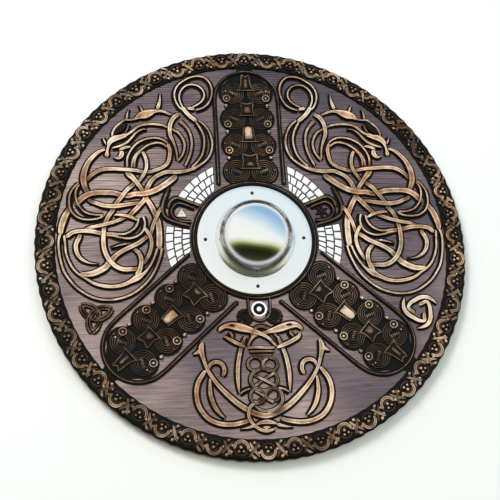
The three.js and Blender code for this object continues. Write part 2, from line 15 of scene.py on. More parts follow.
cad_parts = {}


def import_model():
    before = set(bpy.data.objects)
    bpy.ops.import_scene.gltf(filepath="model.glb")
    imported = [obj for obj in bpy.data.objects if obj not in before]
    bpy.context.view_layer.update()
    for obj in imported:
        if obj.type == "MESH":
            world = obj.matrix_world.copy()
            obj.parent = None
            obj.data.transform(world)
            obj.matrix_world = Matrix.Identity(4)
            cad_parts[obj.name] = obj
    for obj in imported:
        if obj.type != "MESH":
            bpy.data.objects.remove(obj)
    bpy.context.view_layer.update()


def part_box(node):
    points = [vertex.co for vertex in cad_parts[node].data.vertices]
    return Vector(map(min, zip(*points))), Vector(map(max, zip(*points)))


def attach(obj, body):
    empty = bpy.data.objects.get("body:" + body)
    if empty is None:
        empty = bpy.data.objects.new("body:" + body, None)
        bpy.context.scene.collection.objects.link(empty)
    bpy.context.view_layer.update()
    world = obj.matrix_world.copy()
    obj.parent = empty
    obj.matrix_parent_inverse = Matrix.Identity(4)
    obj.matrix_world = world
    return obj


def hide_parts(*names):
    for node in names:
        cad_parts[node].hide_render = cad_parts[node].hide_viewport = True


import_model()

# ---- Driving dimensions ----

MM = 0.001
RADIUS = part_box("board")[1].x
UNIT = RADIUS / 100
GROUND = 16 * MM
RELIEF = 4.6 * MM
BURIED = 1.5 * MM
STEP = 2.8 * MM
DEEP = GROUND - BURIED

BOSS_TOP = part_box("boss")[1].z
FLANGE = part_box("boss")[1].x
FLANGE_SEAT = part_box("boss")[0].z
DOME = 67.5 * MM
SHEET = 2 * MM
HAND_HOLE = 56 * MM
COLLAR_INNER = 100.8 * MM
RIM_INNER = 90.7 * UNIT
LOOPS = 52
PANELS = {"top": 0, "left": 180 - 47.57, "right": 180 + 47.57}
BACK_BELOW = 9.5 * MM


# ---- Meshes from closed bodies ----

class Carving:
    """Closed bodies gathered into one mesh, with a shade at every point: 0 in a cut, 1 on a worn edge."""

    def __init__(self):
        self.points = []
        self.faces = []
        self.shades = []
        self.count = 0

    def add(self, points, faces, shades):
        """Adds a body, its faces numbered from its own first point."""
        points = np.asarray(points, float).reshape(-1, 3)
        self.points.append(points)
        self.shades.append(np.broadcast_to(np.asarray(shades, float).ravel(), len(points)).copy())
        self.faces.extend([[i + self.count for i in face] for face in faces])
        self.count += len(points)

    def loft(self, rings, shades, wrap=False):
        """A body through rings of points. The ends are capped, or joined to each other with wrap."""
        rings = np.asarray(rings, float)
        n, k = rings.shape[:2]
        index = np.arange(n * k).reshape(n, k)
        this, after = (index, np.roll(index, -1, axis=0)) if wrap else (index[:-1], index[1:])
        corners = (this, np.roll(this, -1, axis=1), np.roll(after, -1, axis=1), after)
        faces = np.stack(corners, axis=-1).reshape(-1, 4).tolist()
        if not wrap:
            faces += [index[0][::-1].tolist(), index[-1].tolist()]
        self.add(rings, faces, np.broadcast_to(shades, (n, k)))

    def turned(self, centre, profile, sides=24, wrap=False):
        """A body turned about an upright axis, from (radius, height, shade) rows."""
        rings = [flat_ring(ring_of(max(r, 1e-5), sides, centre), z) for r, z, _ in profile]
        self.loft(rings, [[shade] for _, _, shade in profile], wrap)

    def plate(self, outline, low, high, bevel, shades=(0.1, 0.9, 0.6), lift=0.0):
        """An upright body over a plan outline in metres, with a bevelled top edge and a raised middle."""
        outline = np.asarray(outline, float)
        middle = outline.mean(axis=0)
        reach = np.linalg.norm(outline - middle, axis=1).mean()
        rings = []
        for inset, z in ((0, low), (0, high - bevel), (bevel, high), (reach * 0.7, high + lift)):
            rings.append(flat_ring(middle + (outline - middle) * max(0.05, 1 - inset / reach), z))
        self.loft(rings, [[0]] + [[shade] for shade in shades])

    def mesh(self, name):
        """The gathered bodies as one mesh."""
        return new_mesh(name, np.concatenate(self.points), self.faces)

    def build(self, name, material, slot="carved_wood", replaces=("board",), sharp=50):
        """Makes the gathered bodies one object that rides on the shield."""
        return dressed(self.mesh(name), np.concatenate(self.shades), name, material, replaces, sharp)


def flat_ring(plan, z):
    """Plan points at one height."""
    return np.column_stack((plan, np.full(len(plan), z)))


def new_mesh(name, points, faces):
    """A mesh with its faces turned out."""
    mesh = bpy.data.meshes.new(name)
    mesh.from_pydata(points.tolist(), [], faces)
    whole = bmesh.new()
    whole.from_mesh(mesh)
    bmesh.ops.recalc_face_normals(whole, faces=whole.faces)
    whole.to_mesh(mesh)
    whole.free()
    return mesh


def shown(name, data):
    """A new object in the scene."""
    obj = bpy.data.objects.new(name, data)
    bpy.context.scene.collection.objects.link(obj)
    return obj


def dressed(mesh, shades, name, material, replaces=("board",), sharp=50):
    """A mesh as an object with its shade, its smoothing, its material, its ride and what it replaces."""
    mesh.attributes.new("shade", "FLOAT", "POINT").data.foreach_set("value", shades.astype(np.float32))
    mesh.shade_smooth()
    mesh.set_sharp_from_angle(angle=math.radians(sharp))
    mesh.materials.clear()
    mesh.materials.append(material)
    obj = shown(name, mesh)
    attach(obj, "root")
    if replaces:
        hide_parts(*replaces)
    return obj


def rows_in_mm(rows, radius=0.0, base=GROUND):
    """Rows in millimetres, out from a radius and up from a base, as (radius, height, shade) in metres."""
    return [(radius + row[0] * MM, base + row[1] * MM, row[2] if len(row) > 2 else 0.5) for row in rows]


def ring_of(radius, sides, centre=(0.0, 0.0)):
    """Plan points of a circle."""
    angles = np.arange(sides) * 2 * math.pi / sides
    return np.array(centre) + radius * np.stack((np.cos(angles), np.sin(angles)), axis=1)


def polar(centre, radius, degrees):
    """The plan point at a distance from a centre, at an angle counter-clockwise from +X."""
    a = math.radians(degrees)
    return centre[0] + radius * math.cos(a), centre[1] + radius * math.sin(a)


def arc(centre, radius, start, end, steps):
    """Plan points on an arc, both ends included."""
    return [polar(centre, radius, degrees) for degrees in np.linspace(start, end, steps + 1)]


def turn(points, degrees):
    """Plan points turned about the middle; further columns stay as they are."""
    c, s = math.cos(math.radians(degrees)), math.sin(math.radians(degrees))
    return [(p[0] * c - p[1] * s, p[0] * s + p[1] * c, *p[2:]) for p in points]


def mirror(points):
    """Plan points on the other side of the shield."""
    return [(-p[0], *p[1:]) for p in points]


def placed(points, degrees=0, side=1):
    """Plan points in metres on the shield, turned about its middle or mirrored with side -1."""
    return np.array(turn(points, degrees)) * (side, 1) * UNIT


def wobble(x, y, scale, seed=0.0):
    """A smooth irregular value between -1 and 1 over the plan, about one wave per scale."""
    u, v = x / scale + seed, y / scale - seed
    first = np.sin(2.1 * u + 1.3 * np.sin(1.7 * v + seed))
    second = np.sin(2.9 * v - 1.1 * np.sin(1.3 * u) + 2.0 + seed)
    third = np.sin(4.7 * u - 3.9 * v + 5.1 * seed)
    return (first + second + 0.6 * third) / 2.6


# ---- Ribbons ----

# One side of a ribbon's section, from its foot to its middle: share of the half width, how far outside
# the top's edge in units, share of the height, shade. The stain lies black on the foot and the wall.
SECTION = (
    (1.0, 1.04, None, 0.0),
    (1.0, 0.96, 0.09, 0.0),
    (1.0, 0.36, 0.14, 0.0),
    (1.0, 0.1, 0.84, 0.0),
    (0.98, 0.0, 0.96, 0.46),
    (0.8, 0.0, 1.0, 1.0),
    (0.42, 0.0, 0.98, 0.8),
    (0.0, 0.0, 0.97, 0.74),
)
SLIM = 0.12 * UNIT
# How a ribbon dips where it passes under another: how deep, and within what distances in units. The same dip
# also darkens the ribbon's colour as a painted shadow.
DIP = {"depth": 0.55, "full": 1.8, "clear": 4.4}


def smooth_line(points, step):
    """Evenly spaced samples of a smooth line through plan points with a width, in metres."""
    p = np.array(points, float) * UNIT
    p = np.vstack((2 * p[0] - p[1], p, 2 * p[-1] - p[-2]))
    fine = []
    for p0, p1, p2, p3 in zip(p, p[1:], p[2:], p[3:]):
        k0, k1, k2 = (max(np.linalg.norm(b - a), 1e-9) ** 0.5 for a, b in ((p0, p1), (p1, p2), (p2, p3)))
        m1 = k1 * ((p1 - p0) / k0 - (p2 - p0) / (k0 + k1) + (p2 - p1) / k1)
        m2 = k1 * ((p2 - p1) / k1 - (p3 - p1) / (k1 + k2) + (p3 - p2) / k2)
        t = np.linspace(0, 1, 17)[:-1, None]
        fine.append((2 * t**3 - 3 * t**2 + 1) * p1 + (t**3 - 2 * t**2 + t) * m1
                    + (3 * t**2 - 2 * t**3) * p2 + (t**3 - t**2) * m2)
    fine = np.vstack((*fine, p[-2]))
    along = np.concatenate(([0], np.cumsum(np.linalg.norm(np.diff(fine[:, :2], axis=0), axis=1))))
    stops = np.linspace(0, along[-1], max(4, round(along[-1] / step) + 1))
    return np.stack([np.interp(stops, along, fine[:, i]) for i in range(3)], axis=1), stops


def ribbon(carving, line, under=(), order=0, base=GROUND, height=RELIEF, wall=1.0, glow=1.0, step=STEP):
    """A carved ribbon along plan points (x, y, width). It dips where it passes under another, and its shade
    is lowered there as a painted shadow.
    """
    samples, along = smooth_line(line, step)
    plan, half = samples[:, :2], np.maximum(samples[:, 2] - SLIM, 0.08 * UNIT) / 2
    tangent = np.gradient(plan, axis=0)
    tangent /= np.linalg.norm(tangent, axis=1)[:, None]
    normal = np.stack((-tangent[:, 1], tangent[:, 0]), axis=1)
    to_end = np.minimum(along, along[-1] - along)
    end = 0.3 + 0.7 * np.sqrt(1 - (1 - np.clip(to_end / np.maximum(half, MM), 0, 1)) ** 2)
    dip = np.ones(len(plan))
    for place in under:
        away = np.linalg.norm(plan - np.array(place) * UNIT, axis=1) / UNIT
        t = np.clip((DIP["clear"] - away) / (DIP["clear"] - DIP["full"]), 0, 1)
        dip = np.minimum(dip, 1 - DIP["depth"] * t * t * (3 - 2 * t))
    tall = (height + 0.07 * MM * (order % 8)) * dip * (0.4 + 0.6 * end)
    rings, shades = [], []
    both = [(-1, row) for row in SECTION] + [(1, row) for row in SECTION[-2::-1]]
    for side, (share, out, up, shade) in both:
        away = side * (half * end * share + wall * UNIT * out)
        z = np.full(len(plan), base - BURIED) if up is None else base + tall * up
        rings.append(np.column_stack((plan + normal * away[:, None], z)))
        # Where the ribbon dips under another, its colour is darkened as a painted shadow of the ribbon above.
        shades.append(shade * glow * (0.6 + 0.4 * dip))
    carving.loft(np.stack(rings, axis=1), np.stack(shades, axis=1))


THIN = {"width": 1.25, "wall": 1.35}
BOTH = (-1, 1)


def strands(text):
    """Ribbons to carve, from text. Each ends with a semicolon and starts with its points: x, y and width,
    where a width holds until the next one. Then come the places where it passes under another, and how
    lit it is."""
    found = []
    for row in text.split(";")[:-1]:
        row, _, glow = row.partition("glow")
        row, _, under = row.partition("under")
        line = []
        for point in row.split(","):
            x, y, *width = map(float, point.split())
            line.append((x, y, width[0] if width else line[-1][2]))
        places = [tuple(map(float, place.split())) for place in under.split(",") if under]
        found.append({"line": line, "under": places, "glow": float(glow or 1)})
    return found


def ribbons(carving, drawn, sides=(1,), glow=1.0, **form):
    """Several ribbons, each a hair prouder than the last, on one or both sides of the shield."""
    for side in sides:
        for order, strand in enumerate(drawn):
            line, under = strand["line"], strand.get("under", ())
            if side < 0:
                line, under = mirror(line), mirror(under)
            thin = max(width for _, _, width in line) < THIN["width"]
            own = {"wall": THIN["wall"] if thin else 1.0, **form, "glow": glow * strand.get("glow", 1)}
            ribbon(carving, line, under, order, **own)


# ---- The beasts, drawn for the right side ----

# In the head, the thin stroke with glow .66 that lies inside the dark eye is a painted glint.
BEAST_HEAD = strands("""
67.7 41.9 2.5, 67.5 44.8 1.2, 67 47.2, 66.2 49.6 2.5, 64.1 51.4 3.2, 61.5 52.1 2.5, 59.4 53 2.2,
  58.1 53.1 1.8;
59.4 52.8 1.4, 56.5 54.6 1.2, 53.1 57.7 1.1, 50.4 58.7, 46.5 59.1, 42.5 58.7, 39.1 57.9, 35.9 56.1,
  34.1 54.7, 32.2 52.1, 31.1 48.7 1, 31.3 45.4, 32.2 42.8 .9, 34.4 39.5 under 37.6 57.2;
65.3 52.7 .9, 65 54.6, 64.1 56.7, 62.8 58.3, 61.2 59.8, 59.1 61.3, 57 61.3, 54.5 61.8 1, 52 63.5 3.5,
  49.5 64.3 4.6, 47 65.3 3.6, 45 66 2, 42.5 66.2 1.3, 40 65.6 1.2, 36.7 64.6 under 36.2 64.3;
43.6 67.4 2, 42.8 69.8 1.6, 42.3 72.2 1, 42.1 76.4 .1;
58.3 61.8 1.3, 58 64.5 .8, 57.3 67.5 .1;
50.7 65.6 1.3, 51.4 67.6 .8, 52.5 69.8 .1;
68.1 48.4 1, 68.8 50 .7, 69.6 52.2 .1;
64.6 53.6 .6, 63.2 55.1 2.6, 61.4 56.8 3.4, 59.8 58.2 2.6, 58 59.6 .6 glow .2;
62.6 54.7 .4, 61.1 55.5 .6, 59.8 56.8, 58.9 58.2 .4 glow .66;
59.3 54.2 .4, 58.1 56.4 .6, 57.5 59 .4 glow .75;
65.3 46.4 .6, 62.8 47.1 1, 60.7 47.9 1.1, 58.3 49.3, 56.5 51.2 1, 54.9 53.3 .9, 53.1 55.1 .8,
  50.9 56.2 .6, 48.8 56.4 .3;
56.5 47.1 .8, 58.8 46.7 1.4, 60.7 46, 62 45.4 .4;
60.9 45.2 1.6, 60.8 43 2.4, 61.6 41.6 2, 63 41 1, 64.5 42 .3;
""")

BEAST_NECK = strands("""
58.3 36.5 .9, 58.1 41.2, 57.4 43.3, 56.2 45.6, 54.1 48.3, 51.5 50.1, 48.8 51.2, 45.7 51.7, 43.1 51.4,
  40.4 50.1, 38.8 48.5 under 58.3 35.4;
56.3 36.5 .9, 55.2 41, 53.6 43.5, 51.2 45.7, 48.8 47.6, 46.2 48.7, 43.6 49.1, 41.2 48.4,
  39.4 46.9 under 56.5 35.2;
39.1 48.6 1.2, 38.1 45.1 1.8, 38.2 42.5, 38.7 39.8, 39.6 38, 41.4 36.4, 43.6 35.3, 46.1 34.5, 49.6 34.2,
  52.9 34.5 1.7, 57 35 1.8, 60.8 35.3, 65.1 35.6 1.9, 69.5 35.3 2, 72 34.4, 74.2 32.8, 75.9 31.3 1.9,
  77.6 29.6 1.6 under 49.6 34.2, 77.8 29.4;
54.9 36.5 .8, 54.6 40, 53.5 42.8, 51.8 44.6 under 55 35;
51.1 44.7 1.2, 50.1 42.5 1.6, 49.3 39.7, 49.2 36.9, 49.7 34.4, 50.8 32.2, 52 30.6,
  53.6 28.4 1.4 under 53.6 28.4;
33.3 65.1 2.2, 35.2 63.3, 36.7 61.2 2.1, 37.7 58.5 2, 37.9 56.2 1.9, 37.8 53.5 1.8, 37 51.2 1.6,
  35.9 48.3 1.1, 35.2 45.6 .9, 34.8 42.5 .8, 34.6 39.8 .7 under 32.8 66;
33 61.3 2, 30.7 58.7 1.3, 28.9 55.8 1.1, 27.8 52.1 1, 27.6 48, 28.3 43.9, 29.6 40.2,
  31.1 36.9 under 31.4 59.8;
68.5 45.8 1.3, 71.4 44.4 1.6, 73.6 42.5 2, 75.8 39.7 2.2, 77.2 36.9 2.5, 78.1 33.8 2.8, 78.4 30.6 3,
  78.1 28.1 2.7, 77 25 2.2, 75.8 22.8 2 under 76.2 23.4;
""")

BEAST_TAIL = strands("""
31.9 66.9 .8, 33.3 68.7, 34.8 72.1, 35.2 75.8, 33.7 79.9, 30.7 82.8, 27 84.9, 23.7 85.6, 20.4 84.9,
  18.1 82.4, 16.9 79.1, 16.9 75.8, 17.8 72.4, 19.6 69.5, 22.2 67.6, 25.2 66.7;
31.2 68 .8, 31.9 69.5, 32.8 72.4, 32.6 75.8, 31.1 78.7, 28.5 80.6, 25.6 80.8, 23 79.7, 21.1 77.3,
  20.7 74.3, 21.9 71.7, 24.1 69.7, 27 68.2;
29 67.9 1.6, 27.8 67.6 1.8, 25.6 67.2 1.4;
31.9 68.7 2, 30 65.8, 27.8 63.2, 25.9 61.5, 24.8 60.4 1.6;
25.2 60.2 .9, 23.3 56.9, 22 53.6, 21.5 49.9, 21.9 46.1, 23 42.4, 25.2 39.1, 28.1 36.1;
24.1 61.3 .9, 21.1 58.4, 19.1 55, 18 51.3, 17.8 47.6, 18.7 43.6, 20.7 40.2, 24.1 37.3 1, 27.4 35.4 1.4,
  31.1 34.3 1.8, 35.6 33.7 2, 40 33.8, 42.6 32.8, 45.1 31.3, 47 29.4 2.1, 48.3 27.2 2.2, 49.2 25.3,
  49.8 22.4, 50.4 19.8, 52 17.9, 53.9 15.6, 56.2 13.4, 57.8 11.9 2 under 49.5 23.2, 58 11.6;
""")

BEAST_BODY = strands("""
82.4 17.8 2.6, 80.3 19.7 3, 77.9 21.7 2.9, 75.1 23.1 2.8, 72 23.6 2.6, 68.3 23.6, 64.5 23.4, 61.7 22.8,
  57.9 22.2, 54.5 22.8, 51.4 22.8 2.7, 48.3 23.4 2.8, 45.1 24.7 2.9, 42 26.6 3, 39.5 28.4, 37.3 30.3,
  35.3 32.4 2.4 under 59.8 22.4, 82 18.2, 35 33;
58.4 35.2 2.8, 57.3 32.8, 55.4 30.6 2.4, 53.6 28.1 2, 51.7 25.3 1.9, 50.4 22.6 2, 49.1 19.8 2.2,
  47.5 16.9 2.4, 45.9 13.6, 44.8 10.8 2.5, 44.2 8 2.7, 43.9 2 2.8, 44 -2.1, 44 -4.4 2 under 58.2 35,
  50.6 22.8, 45.3 12;
54.6 29 1.8, 56.1 27.2 2, 58.3 25, 60.1 22.5, 61.7 20.3, 63.6 18, 65.2 14.4, 66.5 12.4, 68 9.8, 68.8 7,
  69 3.9, 69.1 0 2.1, 68.8 -3.6, 67.7 -7.1, 65.9 -10, 63.4 -12.5, 59.9 -13.9, 56.3 -13.8 2,
  53.4 -13.5 1.8 under 54.8 28.8, 64.4 16.6, 68.4 8.2, 53.2 -13.5;
76.4 20.8 1.4, 74.9 19.5 1.8, 72.6 18.5 1.9, 70.1 17.4 2, 67.2 16.9 2.2, 63.9 16.7, 60.4 17.2 2.1,
  57 17.7 1.9, 54 18.4 1.6, 52 18.6 1.2 under 76 20.6, 52.2 18.5;
80.4 28.7 .9, 82.6 26.3 .8, 84.3 23, 84.7 19.5, 84.3 15.9, 82.6 13, 80.1 11.1, 77.2 10.3, 73.9 10.3,
  71 10.9 .9, 69.1 12.1;
80.2 27.9 .9, 81.7 24.6 .8, 81.8 21.7, 81 18.5, 79.4 15.9, 77.5 14, 75.2 13, 72.3 12.5, 69.1 12.5 .9;
84 17 2, 85.2 14.6 2.6, 86.5 11.7 3, 87.5 8.5, 88.1 5.6 2.6, 88.2 3.2 2.2 under 84.2 16.6;
88.3 3.4 1.4, 88.9 1 1, 89 -1.4 .9, 88.6 -5.7, 87.7 -10, 86.3 -14.3, 84.1 -17.9, 81.3 -21.4, 77.7 -24.3,
  74.1 -26.4, 69.9 -27.7, 64.9 -27.9, 60.6 -27.1, 56.3 -25.4, 52.7 -22.9, 49.1 -19.3, 46.3 -15,
  44.5 -10.7, 43.4 -7.1, 42.9 -3.9 1;
86.6 3 1.2, 86.1 -1.4 .9, 85.6 -5.7, 84.1 -10, 82 -13.6, 79.5 -16, 76.6 -17.9 1, 73.4 -20 1.3,
  69.1 -21.4 1.6, 64.9 -21.8, 60.6 -21.2 1.7, 57 -19.6 2, 54.1 -17.9 3, 51.6 -16.4 1.6, 49.1 -13.6 .9,
  47 -10, 45.6 -6.4, 44.9 -3.9 1;
42.6 16.6 1.2, 43.6 14.3 1.7, 45.2 10.8, 46.5 7.5, 47.4 4.4, 48.2 2 1.4 under 42.4 17, 48.2 2;
85.6 1.8 2, 83.4 3.8, 80.9 4.6, 77.7 4.8, 74.9 4.6, 72 4.1, 69.4 3.7, 67 3.2, 64.6 2.8,
  62.4 2.2 1.2 under 69 3.8;
77.8 5.4 1, 75.9 6.3 1.5, 72.6 6.9 1.7, 68.8 7.7, 64.9 8.8, 61.7 10.1, 58.8 11.6 1.4 under 78 5.2,
  58.6 11.8;
51.2 11.7 1, 50.4 8.8 .9, 50.7 5.6, 52.3 3, 54.9 1.4, 58.1 .8, 61.4 1.3, 65.3 2.4;
53.3 11.1 .9, 53.5 8.5, 54.9 5.9, 57.2 4, 59.7 3, 62.3 3, 65.4 3.4;
64.3 12.4 .8, 61.4 12.4 1.4, 58.1 11.7, 55.9 10.8, 53.6 9.5 .8;
48.6 2.4 1.6, 50.2 1.1 1.9, 52.7 -1.1 2.1, 56.3 -3, 59.9 -4.8, 62.7 -6.6 2.2, 64.9 -8.6 2.6,
  66.9 -10.9 2.8, 68.4 -12.9 3, 70.6 -14.3 2.9, 73.4 -15.5 2.8, 76.3 -15.9 2.4,
  79.4 -15.4 1.2 under 66.2 -10.2, 48.4 2.6;
56 -3.2 1.4, 54.5 -4.8 1.7, 53.1 -6.4 1.9, 52.2 -9.3 2, 52.4 -12.1, 53.1 -14.6 2.2,
  54.3 -17.3 2.6 under 56 -3;
50.8 6 1.2, 49.5 4.3 1.6, 47.7 .7 1.7, 47.5 -2.5, 48.1 -5.4, 49.1 -7.9 1.6, 50.4 -10 1.5,
  51.8 -11.6 1.2 under 51.8 -11.6;
79.7 3.6 1.8, 79.9 1.8 2, 81.3 -1.8, 80.9 -5.4 1.8, 79.5 -7.9 1.5, 77.4 -9.6 1.2, 74.9 -10.7 .6,
  70.9 -11.1 .1 under 79.9 4.6;
58.4 -1.6 1, 62 -2.4 .7, 65.9 -3.6 .1;
""")

# ---- Loops beside the boss and the stand, drawn for the right side, and what is in the middle ----

BOSS_LOOPS = strands("""
39.2 26.3 .9, 40.4 22.5, 41.7 18.8, 42.3 15, 41.6 12, 40 10.3, 36 8.5, 29.6 6.6 under 39.4 26;
39.6 15.4 .9, 38.6 18.6, 36 20.5, 33 20, 30 18.7, 25 16.7;
29 8.6 .6, 33.6 9, 37 10.7, 38.2 13.6, 37 16.6, 34.6 17.9, 31 16.9, 27.2 15.2;
""")

TWIN_BEASTS = strands("""
6.8 -51 1, 5.4 -49.2 1.2, 3.4 -47.2 1.3, 1 -45.6 1.6, -3 -43.9 2.4, -6 -42.8 3.2, -9.6 -41.8 3.9,
  -13.3 -41 3.2, -15.8 -41.2 2, -18 -42.4 1.5, -18.7 -43.6 .8 under 6.2 -50.4;
-6.2 -50.8 1, -5 -48 1.1, -3.2 -46 1.2, .2 -44.8 1.4, 3.4 -44 1.8, 6.2 -43.4 2.8, 9.6 -42.4 3.6,
  13.3 -41.4 3.4, 16.2 -41.4 2.4, 18 -42.8 1.6, 18.6 -43.8 .8 under .6 -45, -6 -50.4;
-4.4 -46.6 .6, -3.6 -43.8 1, -1.4 -41.9 1.2, 1 -41.7 1.3, 4 -42.9, 6 -45 1.1,
  7.6 -47.6 .6 under 4.2 -43.2 glow .8;
-16.6 -45.6 .8, -15.4 -46.4 1.2, -13.4 -47.6 1.5, -11 -49 1.6, -7.4 -50.6 1.4;
-14.4 -43.6 .6, -13.2 -44.8 1, -12.6 -46.6 glow .9;
17.4 -44.8 .8, 16.8 -46.6 1.6, 14 -48.4 1.9, 10 -50.2 1.7, 6.8 -51.4 1.4;
13.6 -43.8 .6, 13 -44.8 1, 14.6 -46.6 glow .9;
""")
TWIN_EYES = strands("""
-14.4 -40.9 .4, -12.8 -40.9 1.2, -11.2 -41.3 .4 glow .15;
14.4 -41.3 .4, 12.8 -41.1 1.2, 11.2 -41.5 .4 glow .15;
""")

STAND = strands("""
7 -46 1, 8 -48 1.4, 9 -50.5 1.6, 10.5 -56 1.8, 11.3 -62, 11.3 -67 1.4, 11 -71.3 .3 under 8.8 -50.2;
11 -71.3 .6, 9 -70 .8, 6 -69;
26 -48 1.2, 26.8 -51 2.5, 25.8 -56 1.6, 24 -61 1.5, 20.5 -66.5 1.8, 16 -71.5 2.2, 11 -76 2.4, 6 -79 2.5,
  2.4 -80.4, -.8 -81.2 2.2 under 5.6 -79.2;
26.2 -51.2 2.2, 28.4 -52.6 1.5, 30.6 -53.4 .2;
23.6 -60 1, 23 -58 1.6, 20.5 -57 1.8, 18 -58, 17 -61, 18 -63.5 1.4;
25 -60.4 1.2, 26.4 -62.2 1.8, 28.5 -65.5 2, 29.5 -70, 28.5 -76, 25 -81, 20 -83.5, 14 -84, 8 -82.7 1.8,
  6.2 -82 1.4 under 7.4 -82.6;
23.4 -64 .9, 23.6 -68 1.5, 23.5 -71 1.8, 22 -76, 20 -79 1.3, 17.6 -81.4 .3;
4.5 -84.6 1.6, 8 -85.6 .9, 11.5 -86 .1;
""")

BOTTOM_LOOP = strands("""
-3.4 -74.5 1.2, -5.4 -75.8 1.4, -7 -77.5, -7.5 -81, -6 -84, -3 -86.5, 0 -87.3, 3.5 -86.5 .8;
-4.6 -84.6 .6, -2.4 -83.7 1.5, 0 -83.5 2, 2.4 -83.8 1.5, 5 -84.6 .6;
-1.6 -85.6 .6, 0 -85.9 1.4, 1.6 -85.6 .6;
""")

INLAY_SURROUND = strands("""
-4.9 -28.6 .6, -4.9 -33.4, -4.2 -36.4, -2.3 -38.4, 0 -39, 2.3 -38.4, 4.2 -36.4, 4.9 -33.4, 4.9 -28.6;
""")

KNOT_RINGS = (((-3.4, -58.4), 3.3, 3, 1.1), ((3.2, -58.8), 3.2, 2.9, 1.1), ((0, -65.4), 5.9, 4.7, 1.4),
              ((-3.2, -72.4), 3.2, 3.3, 1.1), ((3.4, -72), 3.1, 2.9, 1.1))
KNOT_STRANDS = strands("""
-6.2 -51.2 1.1, -2.2 -51 1.2, 1.8 -51.4, 5.8 -51.4 1.1 glow .95;
-5.8 -52.9 .8, -.2 -52.9 .9, 5.4 -53 .8 glow .8;
-4.8 -55 1.6, .2 -55.2 2.4, 4.8 -55 1.6 glow .66;
-5 -62.6 .9, -.2 -65.4 1.2, 5.2 -68.4 .9 under -5 -62.6;
5.2 -62.4 .9, -.2 -65.4 1.2, -4.6 -68.4 .9 under 0 -65.4;
-4.4 -70 .8, -.2 -72.6 1.1, 3.6 -75.6 .8;
3.2 -69.6 .8, 0 -72.4 1, -4.8 -76 .9 under 0 -72.6 glow .9;
6.2 -69.6 .9, 7.4 -71.8 1.3, 7.4 -75, 4.8 -77.8 1.4, 1 -79, -2.6 -78.2 1.2, -4.4 -76.6 .9;
""")


def knot_column():
    """The column of rings and crossings down the middle, below the twin beasts' collar."""
    halves = []
    for (x, y), wide, tall, width in KNOT_RINGS:
        # Each ring's left half is made lighter than its right half: painted light falling from the left.
        for start, glow in ((100, 0.88), (280, 0.72)):
            line = [(x + wide * px, y + tall * py, width) for px, py in arc((0, 0), 1, start, start + 180, 8)]
            halves.append({"line": line, "glow": glow})
    return halves + KNOT_STRANDS


def triquetra(x, y, reach, degrees, width):
    """Three double arcs of one radius, each from one corner past the middle to the next, and a ring."""
    offset = reach / 1.536
    lines = []
    for away in (degrees, degrees + 120, degrees + 240):
        centre = polar((x, y), offset, away)
        for spread in (-0.62, 0.62):
            line = [(*p, width) for p in arc(centre, 1.35 * offset + spread, away + 99, away + 261, 12)]
            lines.append({"line": line, "under": [line[4][:2]]})
    for start in (90, 270):
        lines.append({"line": [(*p, width) for p in arc((x, y), 0.3 * reach, start, start + 180, 8)]})
    return lines


def triskele(x, y, degrees):
    """Three horns that sweep round the middle, each tucking under the next."""
    horn = ((0, 8.9, 0.1), (17, 8.1, 1.2), (37, 7.4, 1.8), (62, 6.1, 2), (90, 5, 1.9), (125, 5.1, 1.7),
            (152, 5.4, 1.5), (170, 3.4, 1.7), (196, 2.6, 1.5))
    lines = []
    for spin in (degrees, degrees + 120, degrees + 240):
        line = [(*polar((x, y), radius, spin + angle), width) for angle, radius, width in horn]
        lines.append({"line": line, "under": [line[-1][:2]]})
    return lines


# ---- Panels ----

ORNAMENT = {"first": 34, "pitch": 14.1, "rows": 4, "height": 2.4 * MM}
# The bells of a panel's middle column: where the foot is, the height, the half widths at foot, waist and
# top, and the half width of the bead and its height above the foot.
BELLS = ((35.4, 7.6, 4.4, 3.3, 3.5, 1.9, 1.8), (49.6, 7.8, 3.6, 2.7, 2.3, 1.9, 6.6),
         (63.8, 7.2, 3.6, 2.7, 3.2, 1.7, 3.2), (77.7, 8.8, 3.6, 2.4, 1.8, 0.7, 5))
TALL_BEAD = 6


def panel_outline(half_width, start, end, degrees, width):
    """A panel's outline: straight up from the boss, round at its outer end."""
    sides = [20 + k * 10 for k in range(6) if start < 20 + k * 10 < end - 4]
    left = [(-half_width, start), *((-half_width, y) for y in sides)]
    right = [(half_width, y) for y in reversed(sides)] + [(half_width, start)]
    line = left + arc((0, end), half_width, 180, 0, 10) + right
    return [(*p, width) for p in turn(line, degrees)]


def fine_ribbon(carving, points, degrees, width, base, height, glow, wall=0.15):
    """A thin worn edge on a panel, along plan points."""
    line = [(*p, width) for p in turn(points, degrees)]
    ribbon(carving, line, base=base, height=height, wall=wall, glow=glow, step=4 * MM)


def ringed_disc(carving, point, radius, degrees, rings, crest=0.63):
    """A disc cut with rings round a plain dark middle, its ridges a little worn."""
    pitch = radius * UNIT / rings
    high = GROUND + ORNAMENT["height"]
    ridge = ((0.05, -1, 0), (0.26, -0.3, 0.1), (0.36, 0, crest),
             (0.54, 0, crest), (0.64, -0.3, 0.1), (0.9, -1, 0))
    profile = rows_in_mm([(1.2, -BURIED / MM, 0), (0.8, 0.3, 0)], radius * UNIT)
    for k in range(rings, 2, -1):
        profile += [(pitch * (k - share), high + up * MM, shade) for share, up, shade in ridge]
    profile += [(pitch, high - MM, 0)]
    carving.turned(placed([point], degrees)[0], profile[::-1], sides=36)


def eyed_ring(carving, point, radius, degrees):
    """A small round wheel: a raised ring with a bead in its middle."""
    low, high = GROUND + 0.5 * MM, GROUND + RELIEF
    rows = ((1.15, low, 0), (1.02, high - 0.6 * MM, 0.3), (0.92, high, 0.92), (0.76, high - 0.3 * MM, 0.8),
            (0.62, high - 1.8 * MM, 0.05), (0.6, low, 0))
    profile = [(share * radius * UNIT, z, shade) for share, z, shade in rows]
    carving.turned(placed([point], degrees)[0], profile, sides=28, wrap=True)
    pearl(carving, point, 0.72, degrees, low, 0.95)


